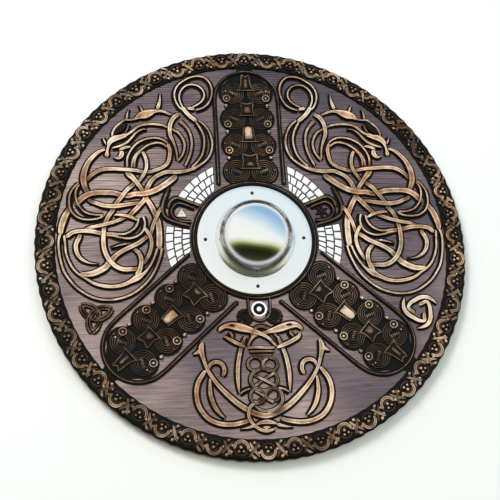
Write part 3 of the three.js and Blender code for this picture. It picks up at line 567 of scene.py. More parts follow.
def pearl(carving, point, radius, degrees=0, low=GROUND, shade=1.0, sides=16):
    """A bead that stands half out of the carving."""
    r = radius * UNIT
    profile = [(r * 1.3, low - 0.5 * MM, 0), (r * 1.1, low + 1.2 * MM, 0)]
    for a in np.radians((0, 30, 60, 86)):
        up = math.sin(a)
        profile.append((r * math.cos(a), low + 1.6 * MM + 0.9 * r * up, shade * (0.45 + 0.55 * up)))
    carving.turned(placed([point], degrees)[0], profile, sides)


def bell(carving, form, degrees):
    """One bell of a panel's middle column, with a raised border and a worn bead on its face."""
    foot, tall, low, waist, top, half, rise = form
    side = [(low, foot), (low - 0.45, foot + 0.9), (waist, foot + 0.36 * tall),
            ((waist + top) / 2, foot + 0.7 * tall), (top, foot + tall)]
    outline = side + [(0, foot + 0.86 * tall)] + mirror(side)[::-1]
    high = GROUND + RELIEF + 0.5 * MM
    carving.plate(placed(outline, degrees), GROUND, high - 1.3 * MM, 0.8 * MM, (0, 0.12, 0.3))
    for edge in (side, mirror(side)):
        fine_ribbon(carving, edge, degrees, 0.5, high - 1.7 * MM, 1.6 * MM, 0.8)
    for reach, y, sag in ((low + 0.7, foot, 0), (top, foot + tall, 0.14 * tall)):
        edge = [(-reach, y), (0, y - sag), (reach, y)]
        fine_ribbon(carving, edge, degrees, 0.55, high - 1.7 * MM, 1.7 * MM, 0.84)
    bead = arc((0, foot + 1.1 + rise - half * 0.8), half, 0, 180, 8)
    bead += [(-half * 1.05, foot + 1), (half * 1.05, foot + 1)]
    lit = 1.0 if rise > TALL_BEAD else 0.72
    shades = (0.2, 0.8 * lit, lit)
    carving.plate(placed(bead, degrees), high - 1.6 * MM, high + 0.9 * MM, 0.9 * MM, shades, 0.6 * MM)


def panel_ornament(carving, degrees):
    """The ornament in one panel: ringed discs in pairs, wheels, beads, bars and a column of bells."""
    first, pitch, rows = ORNAMENT["first"], ORNAMENT["pitch"], ORNAMENT["rows"]
    top = first + rows * pitch
    right = []
    for row in range(rows):
        y = first + row * pitch
        right += arc((6.6, y), 7, -62, 62, 6) + ([(9.4, y + pitch / 2)] if row < rows - 1 else [])
    backing = right + [(4, top - 1), (3.4, top + 1.4), (-3.4, top + 1.4), (-4, top - 1)] + mirror(right)[::-1]
    prism(carving, placed(backing, degrees), DEEP, GROUND + 0.9 * MM)
    for row in range(rows):
        y = first + row * pitch
        for side in BOTH:
            ringed_disc(carving, (side * 6.5, y), 6.4 if row == 0 else 5.9, degrees, 6)
            bars(carving, side, y, degrees)
            if row > 0:
                eyed_ring(carving, (side * 9.7, y - 3), 1.9, degrees)
                between = y + 6.3 if row < 3 else y + 1
                pearl(carving, (side * 10, between), 0.5, degrees, GROUND + 1.2 * MM, 1.0)
                pearl(carving, (side * 10.1, y - 7.1), 0.85, degrees, GROUND + 1.8 * MM, 1.0)
            pearl(carving, (side * 11.6, y + 0.6), 0.5, degrees, GROUND + 1.4 * MM, 0.8)
    for form in BELLS:
        bell(carving, form, degrees)


def bars(carving, side, y, degrees):
    """Five short bars laid side by side over a disc."""
    base = GROUND + ORNAMENT["height"] - 1.6 * MM
    for shift in np.linspace(-1.84, 1.84, 5):
        x, middle = side * (6.4 + 0.88 * shift), y + 0.3 + 0.42 * shift
        ends = [(x + side * 0.3, middle - 0.72), (x - side * 0.3, middle + 0.72)]
        fine_ribbon(carving, ends, degrees, 0.5, base, 2 * MM, 0.86, 0.14)


# ---- Rim ----

def rim_point(order, t, q):
    """A plan point in units on the rim: t along the rim and q across it, about loop number order."""
    middle = (RIM_INNER / UNIT + 100) / 2 - 0.25
    return polar((0, 0), middle + q, 90 - order * 360 / LOOPS - math.degrees(t / middle))


def rim_strand(carving, loop, points, **form):
    """A ribbon on the rim, from (t, q, width) points about one of its loops, mirrored across on odd loops."""
    way = 1 if loop % 2 == 0 else -1
    line = [(*rim_point(loop, t, way * q), width) for t, q, width in points]
    ribbon(carving, line, base=GROUND + 1.6 * MM, height=3.2 * MM, wall=0.42, step=2.4 * MM, **form)


# What fills one pitch of the plait, as points along and across the rim. Odd loops are mirrored across.
RIM_HOOK = ((-1.7, 0.9, 0.6), (-0.9, 2, 0.9), (0.6, 2.1, 0.9), (1.7, 1, 0.6))
RIM_CROSSING = (
    ((3.7, 2.9), (5.4, 0.7), (7, -1.2), (7.9, -3.1)), ((3.8, -2.9), (5.2, -1), (6.6, 0.9), (7.9, 2.9)),
    ((4.6, 3.7), (6, 3), (7.2, 1.6)), ((4.4, -0.6), (4.9, -2), (6.2, -3.2)))
RIM_BEADS = (
    (5.7, 3.2, 0.75), (5.9, -2.9, 0.8), (3.9, 1.2, 0.7), (7.7, 0.2, 0.75), (4, -1.5, 0.65), (0.2, 0.7, 0.8),
    (0.9, -1, 0.65), (-1.1, -0.8, 0.6))
RIM_GLOWS = (0.82, 0.66, 0.9, 0.74)


def rim_loop(carving, loop):
    """One round loop of the rim's plait, lit on its closed side, with the crossing and beads beside it."""
    for start, turning, width, glow, order in ((-100, 25, 1.5, 0.9, 3), (115, 16.25, 1.0, 0.58, 1)):
        half = []
        for k in range(9):
            a = math.radians(start + turning * k)
            half.append((3 * math.sin(a), 0.4 + 3 * math.cos(a), width * (0.7 + 0.3 * math.cos(a / 2) ** 2)))
        rim_strand(carving, loop, half, glow=glow, order=order)
    rim_strand(carving, loop, RIM_HOOK, glow=0.6)
    for k, points in enumerate(RIM_CROSSING):
        stroke = [(t, q, 0.6 if i in (0, len(points) - 1) else 1.2) for i, (t, q) in enumerate(points)]
        rim_strand(carving, loop, stroke, glow=RIM_GLOWS[(k + loop) % 4], order=2 + k)
    for t, q, radius in RIM_BEADS:
        place = rim_point(loop, t, q if loop % 2 == 0 else -q)
        pearl(carving, place, radius, 0, GROUND + 2.4 * MM, 0.86, sides=10)


def rim_border():
    """The plaited border: a dark scalloped ring with the plait standing on it."""
    carving = Carving()
    sides = LOOPS * 8
    angles = np.arange(sides) * 2 * math.pi / sides
    notch = 1.6 * MM * np.sin(angles * LOOPS) ** 2
    rows = rows_in_mm([(-1.5, -1.5, 0), (-0.5, 0.6, 0), (1.5, 1.9, 0.06), (6, 2.2, 0.05)], RIM_INNER)
    rows += rows_in_mm([(-5, 2.2, 0.05), (-1.4, 1.7, 0.1), (0, -0.2, 0.12), (0, -14.8, 0.3),
                        (-1.2, -15.8, 0.4), (-9, -15.8, 0.3)], RADIUS)
    rings = []
    for (r, z, _), share in zip(rows, (0, -0.7, -0.7, 0, 1, 1, 1, 1, 1, 0)):
        radius = r - share * notch
        rings.append(flat_ring(np.stack((radius * np.cos(angles), radius * np.sin(angles)), axis=1), z))
    carving.loft(rings, [[row[2]] for row in rows], wrap=True)
    for loop in range(LOOPS):
        rim_loop(carving, loop)
    carving.build("rim_border", DARK_CARVING)


# ---- Tiles ----

TILE = {"rows": 3, "count": 5, "inner": 29.8, "outer": 41.2, "joint": 0.62, "pocket": 4 * MM, "top": 1.2 * MM}
LEFT_FIELDS = {
    "upper": (((-17.6, 25), (-17.6, 38)), ((-26.4, 18.2), (-36, 22))),
    "lower": (((-28.5, 5), (-41, 7.4)), ((-29, -5), (-39, -13.6))),
}


def crossing_angle(line, radius):
    """The angle at which a straight line crosses a radius about the middle, in degrees."""
    (ax, ay), (bx, by) = line
    dx, dy = bx - ax, by - ay
    a, b, c = dx * dx + dy * dy, 2 * (ax * dx + ay * dy), ax * ax + ay * ay - radius * radius
    t = (-b + math.sqrt(b * b - 4 * a * c)) / (2 * a)
    return math.degrees(math.atan2(ay + t * dy, ax + t * dx)) % 360


def cell(field, low, high, share_from, share_to, steps, margin):
    """The plan outline, in units, of one cell of a field between two radii and two shares of its sweep."""
    outline = []
    for radius, (a, b) in ((low - margin, (share_from, share_to)), (high + margin, (share_to, share_from))):
        start, end = (crossing_angle(line, radius) for line in field)
        spread = math.degrees(margin / radius) * (1 if b > a else -1)
        outline += arc((0, 0), radius, start + (end - start) * a - spread, start + (end - start) * b + spread,
                       steps)
    return outline


def tile_joint(row, i, side):
    """Where the joint before a tile lies, as a share of the field's sweep, a little out of true inside it."""
    share = max(0, min(TILE["count"], i)) / TILE["count"]
    return share + (0.012 * wobble(row * 3.1, i * 1.7, 1.0, side) if 0 < share < 1 else 0)


def tile_field(name, field, side):
    """A field of tiles, each bevelled and set a little unevenly, on a dark bed let into the board."""
    inner, outer, rows = TILE["inner"], TILE["outer"], TILE["rows"]
    depth = (outer - inner) / rows
    bed, tiles = Carving(), Carving()
    where = placed(cell(field, inner, outer, 0, 1, 12, -0.15), side=side)
    bed.plate(where, GROUND - TILE["pocket"] + 0.3 * MM, GROUND - 0.1 * MM, 0.2 * MM, (0.2, 0.3, 0.3))
    for row in range(rows):
        low = inner + row * depth
        for i in np.arange(0 if row % 2 == 0 else -0.5, TILE["count"]):
            a, b = tile_joint(row, i, side), tile_joint(row, i + 1, side)
            outline = placed(cell(field, low, low + depth, a, b, 3, -TILE["joint"] / 2), side=side)
            top = GROUND + TILE["top"] * (0.75 + 0.25 * wobble(i * 2.3, row * 1.9, 1.0, 4.0))
            tiles.plate(outline, GROUND - 1.2 * MM, top, 0.7 * MM, (0.45, 0.85, 1.0), 0.1 * MM)
    bed.build(f"{name}_bed", GROUT, "white_tile", ())
    tiles.build(name, WHITE_TILE, "white_tile", [name])


# ---- Ground ----

GROOVE = {"pitch": 1.6 * MM, "every": 3, "depth": 0.42 * MM}
COVERED_EDGE = 7 * MM
PLAY = 0.3 * MM
SLOT = {"half_width": 12.3 * MM, "depth": 9.3 * MM}
RIVET_PIT = {"radius": 3.9 * MM, "depth": 2.4 * MM}
INLAY_PIT = 2.5 * MM


def ground_blank():
    """The board under the carving: a slab whose face is combed with shallow grooves along the grain."""
    radius = RADIUS - COVERED_EDGE
    ys = np.arange(-radius + 0.6 * MM, radius - 0.5 * MM, GROOVE["pitch"])
    shares = np.linspace(-1, 1, 61)
    x = shares[None, :] * np.sqrt(radius**2 - ys**2)[:, None]
    y = np.repeat(ys[:, None], len(shares), axis=1)
    inside = (1 - np.abs(shares) ** 8)[None, :]
    strength = np.clip(0.8 + 0.7 * wobble(x * 0.35, y * 9, 0.02), 0.2, 1)
    strength = strength * np.clip(0.85 + 0.9 * y / RADIUS, 0.35, 1)
    fine = np.clip(0.4 + 0.8 * wobble(x * 0.5, y * 23, 0.02, 3.0), 0, 1)
    cut = (np.arange(len(ys)) % GROOVE["every"] == 0)[:, None]
    depth = GROOVE["depth"] * np.where(cut, strength, 0.3 * fine) * inside
    y = y + inside * 1.1 * MM * wobble(x, y * 0.6, 0.09, 1.0)
    top = np.stack((x, y, GROUND - depth), axis=-1)
    rows, columns = top.shape[:2]
    index = np.arange(rows * columns).reshape(rows, columns)
    faces = np.stack((index[:-1, :-1], index[:-1, 1:], index[1:, 1:], index[1:, :-1]), axis=-1)
    edge = np.concatenate((index[0], index[1:, -1], index[-1, -2::-1], index[-2:0:-1, 0]))
    foot = top.reshape(-1, 3)[edge] * (1, 1, 0)
    below = rows * columns + np.arange(len(edge))
    walls = np.stack((edge, below, np.roll(below, -1), np.roll(edge, -1)), axis=-1)
    faces = faces.reshape(-1, 4).tolist() + walls.tolist() + [below[::-1].tolist()]
    return new_mesh("ground", np.vstack((top.reshape(-1, 3), foot)), faces)


def prism(carving, outline, low, high):
    """An upright body between two heights."""
    carving.loft([flat_ring(outline, z) for z in (low, high)], 0)


def board_cutters():
    """What is cut from the board, as groups whose bodies stay clear of each other."""
    hand, slot, pockets = Carving(), Carving(), Carving()
    prism(hand, ring_of(HAND_HOLE, 72), -MM, GROUND + MM)
    reach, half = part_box("grip")[1].x + PLAY, SLOT["half_width"]
    prism(slot, [(-reach, -half), (reach, -half), (reach, half), (-reach, half)], -MM, SLOT["depth"])
    for field in LEFT_FIELDS.values():
        for side in BOTH:
            outline = placed(cell(field, TILE["inner"], TILE["outer"], 0, 1, 12, 0), side=-side)
            prism(pockets, outline, GROUND - TILE["pocket"], GROUND + MM)
    centre, radius = inlay_place()
    prism(pockets, ring_of(radius + PLAY, 48, centre), GROUND - INLAY_PIT, GROUND + MM)
    for place in rivet_places().values():
        prism(pockets, ring_of(RIVET_PIT["radius"], 20, place), -MM, RIVET_PIT["depth"])
    return [shown("cutter", group.mesh("cutter")) for group in (hand, slot, pockets)]


def board_ground():
    """The board's slab with everything cut from it, its shade read from the depth of the grooves."""
    obj = shown("blank", ground_blank())
    cutters = board_cutters()
    for tool in cutters:
        cut = obj.modifiers.new("cut", "BOOLEAN")
        cut.operation = "DIFFERENCE"
        cut.solver = "MANIFOLD"
        cut.object = tool
    bpy.context.view_layer.update()
    mesh = bpy.data.meshes.new_from_object(obj.evaluated_get(bpy.context.evaluated_depsgraph_get()))
    for gone in (obj, *cutters):
        bpy.data.objects.remove(gone)
    z = np.array([point.co.z for point in mesh.vertices])
    shades = np.where(z > GROUND - MM, 1 - (GROUND - z) / GROOVE["depth"], 0.5)
    obj = dressed(mesh, np.clip(shades, 0, 1), "board_ground", GROUND_WOOD)
    second_material(obj, BACK_WOOD, lambda place: place.z < BACK_BELOW)


def second_material(obj, material, wanted):
    """Gives the faces whose middle is wanted another material."""
    obj.data.materials.append(material)
    for face in obj.data.polygons:
        face.material_index = int(wanted(face.center))


# ---- Boss, rivets, grip, inlay and collar ----

def rivet_places():
    """Where each rivet's axis stands, by node name."""
    places = {}
    for name in ("top", "left", "bottom", "right"):
        low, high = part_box(f"boss_rivet_{name}")
        places[f"boss_rivet_{name}"] = ((low.x + high.x) / 2, (low.y + high.y) / 2)
    return places


DOME_SWELL = 0.88
FILLET = 4.5 * MM


def boss():
    """The hollow boss: a polished dome that runs into a satin flange with a rolled edge."""
    face = FLANGE_SEAT + SHEET
    tall = BOSS_TOP - face
    outer, inner = [], []
    for a in np.radians(np.linspace(90, 0, 40)):
        out, up = math.cos(a) ** DOME_SWELL, math.sin(a) ** DOME_SWELL
        if up > 0.11:
            outer.append((DOME * out, face + tall * up))
        inner.append(((DOME - SHEET) * out, face + (tall - SHEET) * up))
    bend = [(DOME + FILLET - FILLET * math.cos(b) * 0.98, face + FILLET * (1 - math.sin(b)))
            for b in np.radians(np.linspace(16, 90, 9))]
    edge = [(FLANGE - 1.2 * MM, face), (FLANGE - 0.4 * MM, face - 0.3 * MM), (FLANGE, face - 0.9 * MM),
            (FLANGE, FLANGE_SEAT + 0.3 * MM), (FLANGE - 0.3 * MM, FLANGE_SEAT)]
    flat = [(r * MM, face) for r in (76, 84, 92)]
    under = [(DOME + 2 * MM, FLANGE_SEAT), (DOME - SHEET, FLANGE_SEAT + 1 * MM)]
    profile = outer + bend + flat + edge + under + inner[::-1]
    carving = Carving()
    profile = [(r, z, float(np.clip((r / DOME - 0.66) / 0.2, 0, 1))) for r, z in profile]
    carving.turned((0, 0), profile, sides=160)
    obj = carving.build("boss", POLISHED, "polished_steel", ["boss"], sharp=35)
    second_material(obj, SATIN, lambda place: math.hypot(place.x, place.y) > DOME + 0.6 * FILLET
                    or place.z < FLANGE_SEAT + 0.1 * MM)


def rivets():
    """Four small rivets: a low head on the flange, and a clenched tail sunk in the back."""
    tail = rows_in_mm([(3.5, 0.6), (3.5, 1.6), (2.2, 2.2)], base=0)
    head = [(2.2, -1), (3.1, -0.05), (3.1, 0.4), (2.5, 0.95), (1.3, 1.2)]
    head = rows_in_mm(head, base=FLANGE_SEAT + SHEET)
    for name, place in rivet_places().items():
        carving = Carving()
        carving.turned(place, tail + head, sides=28)
        carving.build(name, DARK_IRON, "dark_iron", [name])


def grip():
    """The grip: flat ends let into the back and a rounded, slightly swelling handle between them."""
    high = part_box("grip")[1]
    reach, half_wide, top = high.x - 0.3 * MM, high.y - 0.3 * MM, high.z
    half_deep, shoulder, handle = 4.35 * MM, 60 * MM, 54 * MM
    xs = np.concatenate((np.linspace(-reach, -shoulder, 12), np.linspace(-handle, handle, 37),
                         np.linspace(shoulder, reach, 12)))
    circle, rings = ring_of(1, 32), []
    for x in xs:
        t = np.clip((shoulder - abs(x)) / (14 * MM), 0, 1)
        t = t * t * (3 - 2 * t)
        waist = 0.93 + 0.05 * math.cos(x / handle * math.pi)
        middle = half_deep + t * (top / 2 - half_deep)
        tall = half_deep + t * (top / 2 * waist - half_deep)
        wide = half_wide + t * (10.6 * MM * waist - half_wide)
        corners = np.abs(circle) ** (2 / (8 - 5.6 * t)) * np.sign(circle)
        rings.append([(x, wide * c, middle + tall * s) for c, s in corners])
    carving = Carving()
    carving.loft(rings, 0.5)
    carving.build("grip", GRIP_WOOD, "grip_wood", ["grip"])


def inlay_place():
    """The inlay's centre and its outer radius."""
    low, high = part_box("inlay_ring")
    return ((low.x + high.x) / 2, (low.y + high.y) / 2), (high.x - low.x) / 2


def inlay():
    """A white ring and a white dot in a dark bed below the boss."""
    centre, outer = inlay_place()
    inner, dot = outer * 0.74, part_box("inlay_dot")[1].x
    base, top = GROUND - 2.2 * MM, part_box("inlay_ring")[1].z
    ring = [(outer, base), (outer, top - 0.6 * MM), (outer - 0.5 * MM, top), (inner + 0.4 * MM, top),
            (inner, top - 0.6 * MM), (inner, base)]
    disc = [(dot, base), (dot, top - 0.7 * MM), (dot - 0.6 * MM, top - 0.1 * MM), (dot * 0.4, top)]
    for name, profile, sides, wrap in (("inlay_ring", ring, 64, True), ("inlay_dot", disc, 32, False)):
        carving = Carving()
        carving.turned(centre, [(r, z, 0.9) for r, z in profile], sides, wrap)
        carving.build(name, WHITE_TILE, "white_tile", [name])


def collar():
    """The dark double moulding around the flange, with a thin worn line between its rolls."""
    rows = [(0, -1.5, 0), (0, 2.4, 0.02), (1.2, 3.6, 0.2), (3, 4, 0.3), (4.4, 3.1, 0.1), (4.9, 2, 0),
            (5.4, 2.8, 0.75), (5.9, 2.8, 0.75), (6.4, 2, 0), (7, 3.3, 0.1), (8.2, 3.6, 0.24), (9.2, 2.8, 0.1),
            (10.2, 0, 0), (10.4, -1.5, 0)]
    carving = Carving()
    carving.turned((0, 0), rows_in_mm(rows, COLLAR_INNER), sides=144, wrap=True)
    carving.build("collar", DARK_CARVING)


def small_figures(carving):
    """The triangle and the flower in the loops beside the boss, and the rough lumps beside the inlay."""
    triangle = placed(arc((-33.4, 12.6), 2.7, 90, 330, 2))
    carving.plate(triangle, DEEP, GROUND + 3 * MM, 0.8 * MM, (0.1, 0.95, 0.8))
    flower = (32.5, 13.4)
    petal = ((0, 0.5), (1.75, 1.3), (3.5, 0.2))
    for k in range(6):
        line = [(*polar(flower, far, 60 * k + 30), width) for far, width in petal]
        ribbon(carving, line, order=k, glow=0.3, height=2.6 * MM, wall=0.3)
    pearl(carving, flower, 0.7, shade=0.4)
    for side in BOTH:
        ringed_disc(carving, (side * 6.5, -37), 3.7, 0, 4, 0.4)
        for x, y in arc((6.5, -37), 3, -55, 73, 4):
            pearl(carving, (side * x, y), 0.9, shade=0.44)
    centre, outer = inlay_place()
    bed = ((0.2, -2.4), (0.72, -2.4), (0.72, -1.3), (0.2, -1.3))
    profile = [(share * outer, GROUND + z * MM, 0) for share, z in bed]
    carving.turned(centre, profile, sides=48, wrap=True)


# ---- Materials ----

def shader(name, metallic=0.0, roughness=0.5, colour=(0.5, 0.5, 0.5), gloss=0.5):
    """A new material, its node tree and its main shader."""
    material = bpy.data.materials.new(name)
    material.use_nodes = True
    tree = material.node_tree
    main = tree.nodes["Principled BSDF"]
    main.inputs["Base Color"].default_value = (*colour, 1)
    main.inputs["Metallic"].default_value = metallic
    main.inputs["Roughness"].default_value = roughness
    main.inputs["Specular IOR Level"].default_value = gloss
    return material, tree, main


def noise(tree, scale, detail, roughness=0.55, stretch=(1, 1, 1)):
    """A noise value over the object, stretched along its axes."""
    place = tree.nodes.new("ShaderNodeTexCoord")
    mapping = tree.nodes.new("ShaderNodeMapping")
    mapping.inputs["Scale"].default_value = stretch
    cloud = tree.nodes.new("ShaderNodeTexNoise")
    cloud.inputs["Scale"].default_value = scale
    cloud.inputs["Detail"].default_value = detail
    cloud.inputs["Roughness"].default_value = roughness
    tree.links.new(place.outputs["Object"], mapping.inputs["Vector"])
    tree.links.new(mapping.outputs["Vector"], cloud.inputs["Vector"])
    return cloud.outputs["Fac"]


def ramp(tree, value, stops):
    """A colour from a value, through (position, colour) stops."""
    node = tree.nodes.new("ShaderNodeValToRGB")
    elements = node.color_ramp.elements
    while len(elements) < len(stops):
        elements.new(0.5)
    for element, (position, colour) in zip(elements, stops):
        element.position = position
        element.color = (*colour, 1)
    tree.links.new(value, node.inputs["Fac"])
    return node.outputs["Color"]


def feed(tree, socket, source):
    """Sets a socket to a number or a colour, or links a value of the tree to it."""
    if isinstance(source, tuple):
        socket.default_value = (*source, 1)
    elif isinstance(source, (float, int)):
        socket.default_value = source
    else:
        tree.links.new(source, socket)


def mixed(tree, a, b, share, way="MIX"):
    """Two colours mixed by a share."""
    node = tree.nodes.new("ShaderNodeMix")
    node.data_type = "RGBA"
    node.blend_type = way
    for number, source in ((6, a), (7, b), (0, share)):
        feed(tree, node.inputs[number], source)
    return node.outputs[2]


def maths(tree, a, b, way="ADD", clamped=True):
    """Two values joined by a sum or another operation."""
    node = tree.nodes.new("ShaderNodeMath")
    node.operation = way
    node.use_clamp = clamped
    feed(tree, node.inputs[0], a)
    feed(tree, node.inputs[1], b)
    return node.outputs[0]


def leaning(tree, place, way):
    """How far a place leans one way: its product with a direction."""
    where = tree.nodes.new("ShaderNodeTexCoord")
    slope = tree.nodes.new("ShaderNodeVectorMath")
    slope.operation = "DOT_PRODUCT"
    slope.inputs[1].default_value = way
    tree.links.new(where.outputs[place], slope.inputs[0])
    return slope.outputs["Value"]


def shade_of(tree):
    """The carved shade at a place: 0 in a cut, 1 on a worn edge."""
    node = tree.nodes.new("ShaderNodeAttribute")
    node.attribute_name = "shade"
    return node.outputs["Fac"]


def bump(tree, main, height, strength, distance):
    """Roughens a shader's surface by a value."""
    node = tree.nodes.new("ShaderNodeBump")
    node.inputs["Strength"].default_value = strength
    node.inputs["Distance"].default_value = distance
    tree.links.new(height, node.inputs["Height"])
    tree.links.new(node.outputs["Normal"], main.inputs["Normal"])


GRAIN = (1.2, 16, 16)


def ground_wood():
    """Stained ground: purple grey with dark combed lines, and warmer and paler clouds."""
    material, tree, main = shader("stained_ground", roughness=0.5, gloss=0.2)
    slope = leaning(tree, "Object", (-0.46, -0.26, 0))
    value = maths(tree, noise(tree, 3.6, 3, stretch=(1, 1.8, 1)), slope)
    clouds = ramp(tree, value, [
        (0.3, (0.1, 0.08, 0.1)), (0.44, (0.165, 0.122, 0.14)), (0.56, (0.27, 0.195, 0.19)),
        (0.72, (0.43, 0.32, 0.3))])
    grain = ramp(tree, noise(tree, 22, 5, 0.7, GRAIN), [
        (0.3, (0.5, 0.47, 0.47)), (0.5, (0.95,) * 3), (0.7, (1.2, 1.16, 1.14))])
    lines = ramp(tree, shade_of(tree), [(0.0, (0.06, 0.045, 0.05)), (0.55, (0.6,) * 3), (1.0, (1.1,) * 3)])
    colour = mixed(tree, mixed(tree, clouds, grain, 0.75, "MULTIPLY"), lines, 0.85, "MULTIPLY")
    tree.links.new(colour, main.inputs["Base Color"])
    bump(tree, main, noise(tree, 40, 4, 0.7, GRAIN), 0.35, 0.6 * MM)
    return material


def carved(name, stops, patches, roughness):
    """Carved wood, dark in the cuts and worn to bare metal-tan wood on the edges."""
    material, tree, main = shader(name, roughness=roughness, gloss=0.14)
    wear = noise(tree, 55, 5, 0.65)
    value = shade_of(tree)
    for cloud in (wear, noise(tree, 9, 2)):
        part = maths(tree, maths(tree, cloud, 0.5, "SUBTRACT", False), patches, "MULTIPLY", False)
        value = maths(tree, value, maths(tree, part, shade_of(tree), "MULTIPLY", False))
    warmth = ramp(tree, noise(tree, 13, 2), [(0.36, (1.06, 0.92, 0.8)), (0.62, (0.96, 1.0, 1.03))])
    colour = mixed(tree, ramp(tree, value, stops), warmth, 1.0, "MULTIPLY")
    grain = ramp(tree, noise(tree, 30, 4, 0.7, GRAIN), [(0.3, (0.72, 0.7, 0.68)), (0.55, (1.0,) * 3)])
    tree.links.new(mixed(tree, colour, grain, 0.8, "MULTIPLY"), main.inputs["Base Color"])
    bump(tree, main, noise(tree, 120, 3), 0.25, 0.5 * MM)
    return material


COPPER_CARVING = carved("copper_worn_wood", [
    (0.0, (0.004, 0.003, 0.003)), (0.3, (0.013, 0.008, 0.006)), (0.46, (0.075, 0.037, 0.022)),
    (0.62, (0.255, 0.143, 0.086)), (0.78, (0.44, 0.284, 0.186)), (1.0, (0.86, 0.7, 0.55))], 1.0, 0.38)
DARK_CARVING = carved("bronze_black_wood", [
    (0.0, (0.003, 0.0025, 0.002)), (0.32, (0.009, 0.006, 0.004)), (0.52, (0.04, 0.023, 0.014)),
    (0.68, (0.14, 0.088, 0.057)), (0.84, (0.36, 0.25, 0.172)), (1.0, (0.72, 0.58, 0.45))], 0.9, 0.34)
GROUND_WOOD = ground_wood()


def metals():
    """Polished and satin steel, and blackened iron."""
    polished, tree, main = shader("polished_steel", 1.0, 0.1, (0.86, 0.88, 0.9))
    dulled = maths(tree, maths(tree, shade_of(tree), 0.15, "MULTIPLY"), 0.09)
    tree.links.new(dulled, main.inputs["Roughness"])
    satin, tree, main = shader("satin_steel", 1.0, 0.34, (0.93, 0.94, 0.95))
    bump(tree, main, noise(tree, 160, 2), 0.08, 0.2 * MM)
    iron = shader("dark_iron", 0.85, 0.42, (0.06, 0.05, 0.045))[0]
    return polished, satin, iron


def ceramics():
    """White tile with faint greyer patches, and the dark bed between the tiles."""
    tile, tree, main = shader("white_tile", 0.0, 0.24)
    colour = ramp(tree, noise(tree, 26, 3), [(0.3, (0.78, 0.77, 0.76)), (0.6, (0.94, 0.94, 0.93))])
    tree.links.new(colour, main.inputs["Base Color"])
    grout = shader("tile_bed", 0.0, 0.85, (0.045, 0.042, 0.045))[0]
    return tile, grout


def oiled_wood(name, light):
    """Plain oiled wood with its grain along x, paler or darker by a factor."""
    material, tree, main = shader(name, 0.0, 0.5, gloss=0.3)
    stops = ((0.3, (0.14, 0.075, 0.038)), (0.55, (0.27, 0.16, 0.085)), (0.75, (0.36, 0.23, 0.13)))
    stops = [(place, tuple(light * part for part in colour)) for place, colour in stops]
    tree.links.new(ramp(tree, noise(tree, 26, 5, 0.65, (1.5, 14, 14)), stops), main.inputs["Base Color"])
    return material


POLISHED, SATIN, DARK_IRON = metals()
WHITE_TILE, GROUT = ceramics()
GRIP_WOOD = oiled_wood("oiled_ash", 1.0)
BACK_WOOD = oiled_wood("oiled_back", 0.42)


# ---- The shield ----

def carving_pieces():
    """The carved ribbons and panels, as a few pieces that stand on the board."""
    beasts, bodies, lower, figures, dark = (Carving() for _ in range(5))
    ribbons(beasts, BEAST_HEAD + BEAST_NECK + BEAST_TAIL, BOTH)
    ribbons(bodies, BEAST_BODY, BOTH)
    ribbons(lower, STAND, BOTH)
    ribbons(lower, TWIN_BEASTS)
    ribbons(lower, TWIN_EYES, base=GROUND + 1.3 * MM, wall=0.1)
    ribbons(lower, BOTTOM_LOOP)
    ribbons(figures, triskele(73.6, -35.9, 15), glow=1.06)
    small_figures(figures)
    ribbons(dark, triquetra(-72.6, -34.8, 7.6, 81, 0.75), glow=0.88, wall=0.6)
    ribbons(dark, BOSS_LOOPS, BOTH, glow=0.8)
    ribbons(dark, INLAY_SURROUND, glow=0.88, wall=0.6)
    ribbons(dark, knot_column(), glow=0.98, wall=0.6)
    beasts.build("beast_heads_and_tails", COPPER_CARVING)
    bodies.build("beast_bodies", COPPER_CARVING)
    lower.build("lower_knotwork", COPPER_CARVING)
    figures.build("small_figures", COPPER_CARVING)
    dark.build("dark_loops", DARK_CARVING)
    for name, degrees in PANELS.items():
        panel = Carving()
        ribbon(panel, panel_outline(15.6, 27, 72.8, degrees, 1.7), height=3.2 * MM, wall=0.4, glow=0.22)
        ribbon(panel, panel_outline(15.65, 27.5, 72.8, degrees, 0.38), wall=0.16, glow=0.86)
        panel_ornament(panel, degrees)
        panel.build(f"panel_{name}", DARK_CARVING)


board_ground()
rim_border()
collar()
carving_pieces()
boss()
rivets()
grip()
inlay()
for field_name, left_field in LEFT_FIELDS.items():
    tile_field(f"tiles_left_{field_name}", left_field, 1)
    tile_field(f"tiles_right_{field_name}", left_field, -1)


# ---- Studio ----

def stage():
    """A plain pale floor under the shield."""
    mesh = bpy.data.meshes.new("floor")
    mesh.from_pydata([(-40, -40, 0), (40, -40, 0), (40, 40, 0), (-40, 40, 0)], [], [(0, 1, 2, 3)])
    mesh.materials.append(shader("floor", 0.0, 0.9, (0.86, 0.86, 0.85))[0])
    floor = shown("floor", mesh)
    floor.location.z = -0.05 * MM


def lamp(name, place, size, power, colour=(1, 1, 1)):
    """A square soft light that faces the shield."""
    light = bpy.data.lights.new(name, "AREA")
    light.size = size
    light.energy = power
    light.color = colour
    obj = shown(name, light)
    obj.location = place
    obj.rotation_mode = "QUATERNION"
    obj.rotation_quaternion = (-Vector(place)).to_track_quat("-Z", "Y")
    obj.visible_glossy = False


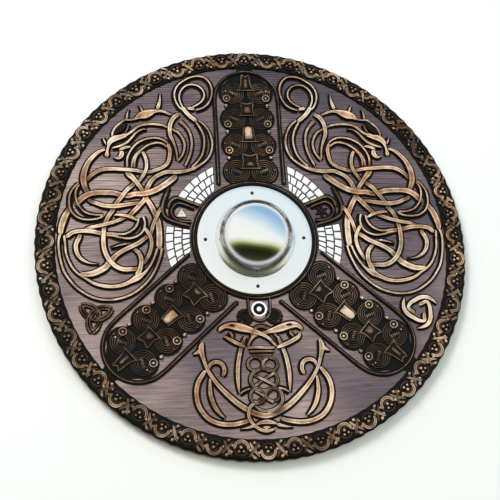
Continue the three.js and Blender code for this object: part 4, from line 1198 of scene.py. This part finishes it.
def toward(tree, way):
    """How far a direction of the surround leans one way, from 0 to 1."""
    return maths(tree, maths(tree, leaning(tree, "Generated", way), 0.5, "MULTIPLY", False), 0.5)


def world():
    """A soft surround, pale above and behind the shield and darker in front, for the dome to mirror."""
    bpy.context.scene.view_settings.view_transform = "Standard"
    surround = bpy.data.worlds.new("surround")
    surround.use_nodes = True
    tree = surround.node_tree
    ahead = toward(tree, (0.12, 1, 0))
    low = ramp(tree, ahead, [
        (0.0, (0.04, 0.036, 0.016)), (0.18, (0.014, 0.016, 0.007)), (0.27, (0.04, 0.052, 0.016)),
        (0.33, (0.27, 0.29, 0.1)), (0.38, (0.72, 0.72, 0.42)), (0.46, (1.0, 0.99, 0.93))])
    high = ramp(tree, toward(tree, (0.45, 0.8, 0)), [
        (0.48, (1.0, 1.0, 0.98)), (0.66, (0.95, 0.98, 1.0)), (0.78, (0.56, 0.76, 0.94)),
        (0.9, (0.32, 0.53, 0.8))])
    near_floor = ramp(tree, toward(tree, (0, 0, 1)), [(0.54, (1.0,) * 3), (0.59, (0.0,) * 3)])
    colour = mixed(tree, mixed(tree, low, high, 1.0, "MULTIPLY"), (0.8, 0.81, 0.8), near_floor)
    background = tree.nodes["Background"]
    tree.links.new(colour, background.inputs["Color"])
    background.inputs["Strength"].default_value = 1.04
    bpy.context.scene.world = surround


def camera():
    """The camera, above and in front of the shield and a little to its left, held slightly turned."""
    forward = Vector((0.1085, 0.3345, -0.9361)).normalized()
    right = Vector((0.99397, -0.05151, 0.09679)).normalized()
    up = right.cross(forward).normalized()
    data = bpy.data.cameras.new("camera")
    data.lens = 58.107
    data.shift_x = 0.02764
    data.shift_y = -0.00768
    obj = shown("camera", data)
    facing = Matrix((forward.cross(up), up, -forward)).transposed().to_4x4()
    place = Vector((-0.490877, -1.274289, 3.467992)) * RADIUS + Vector((0, 0, GROUND + 2 * MM))
    obj.matrix_world = Matrix.Translation(place) @ facing
    bpy.context.scene.camera = obj


stage()
lamp("key", (-1.3, 1.5, 2.2), 1.0, 60)
lamp("fill", (1.8, -0.6, 2.0), 1.6, 14, (0.95, 0.97, 1.0))
world()
camera()
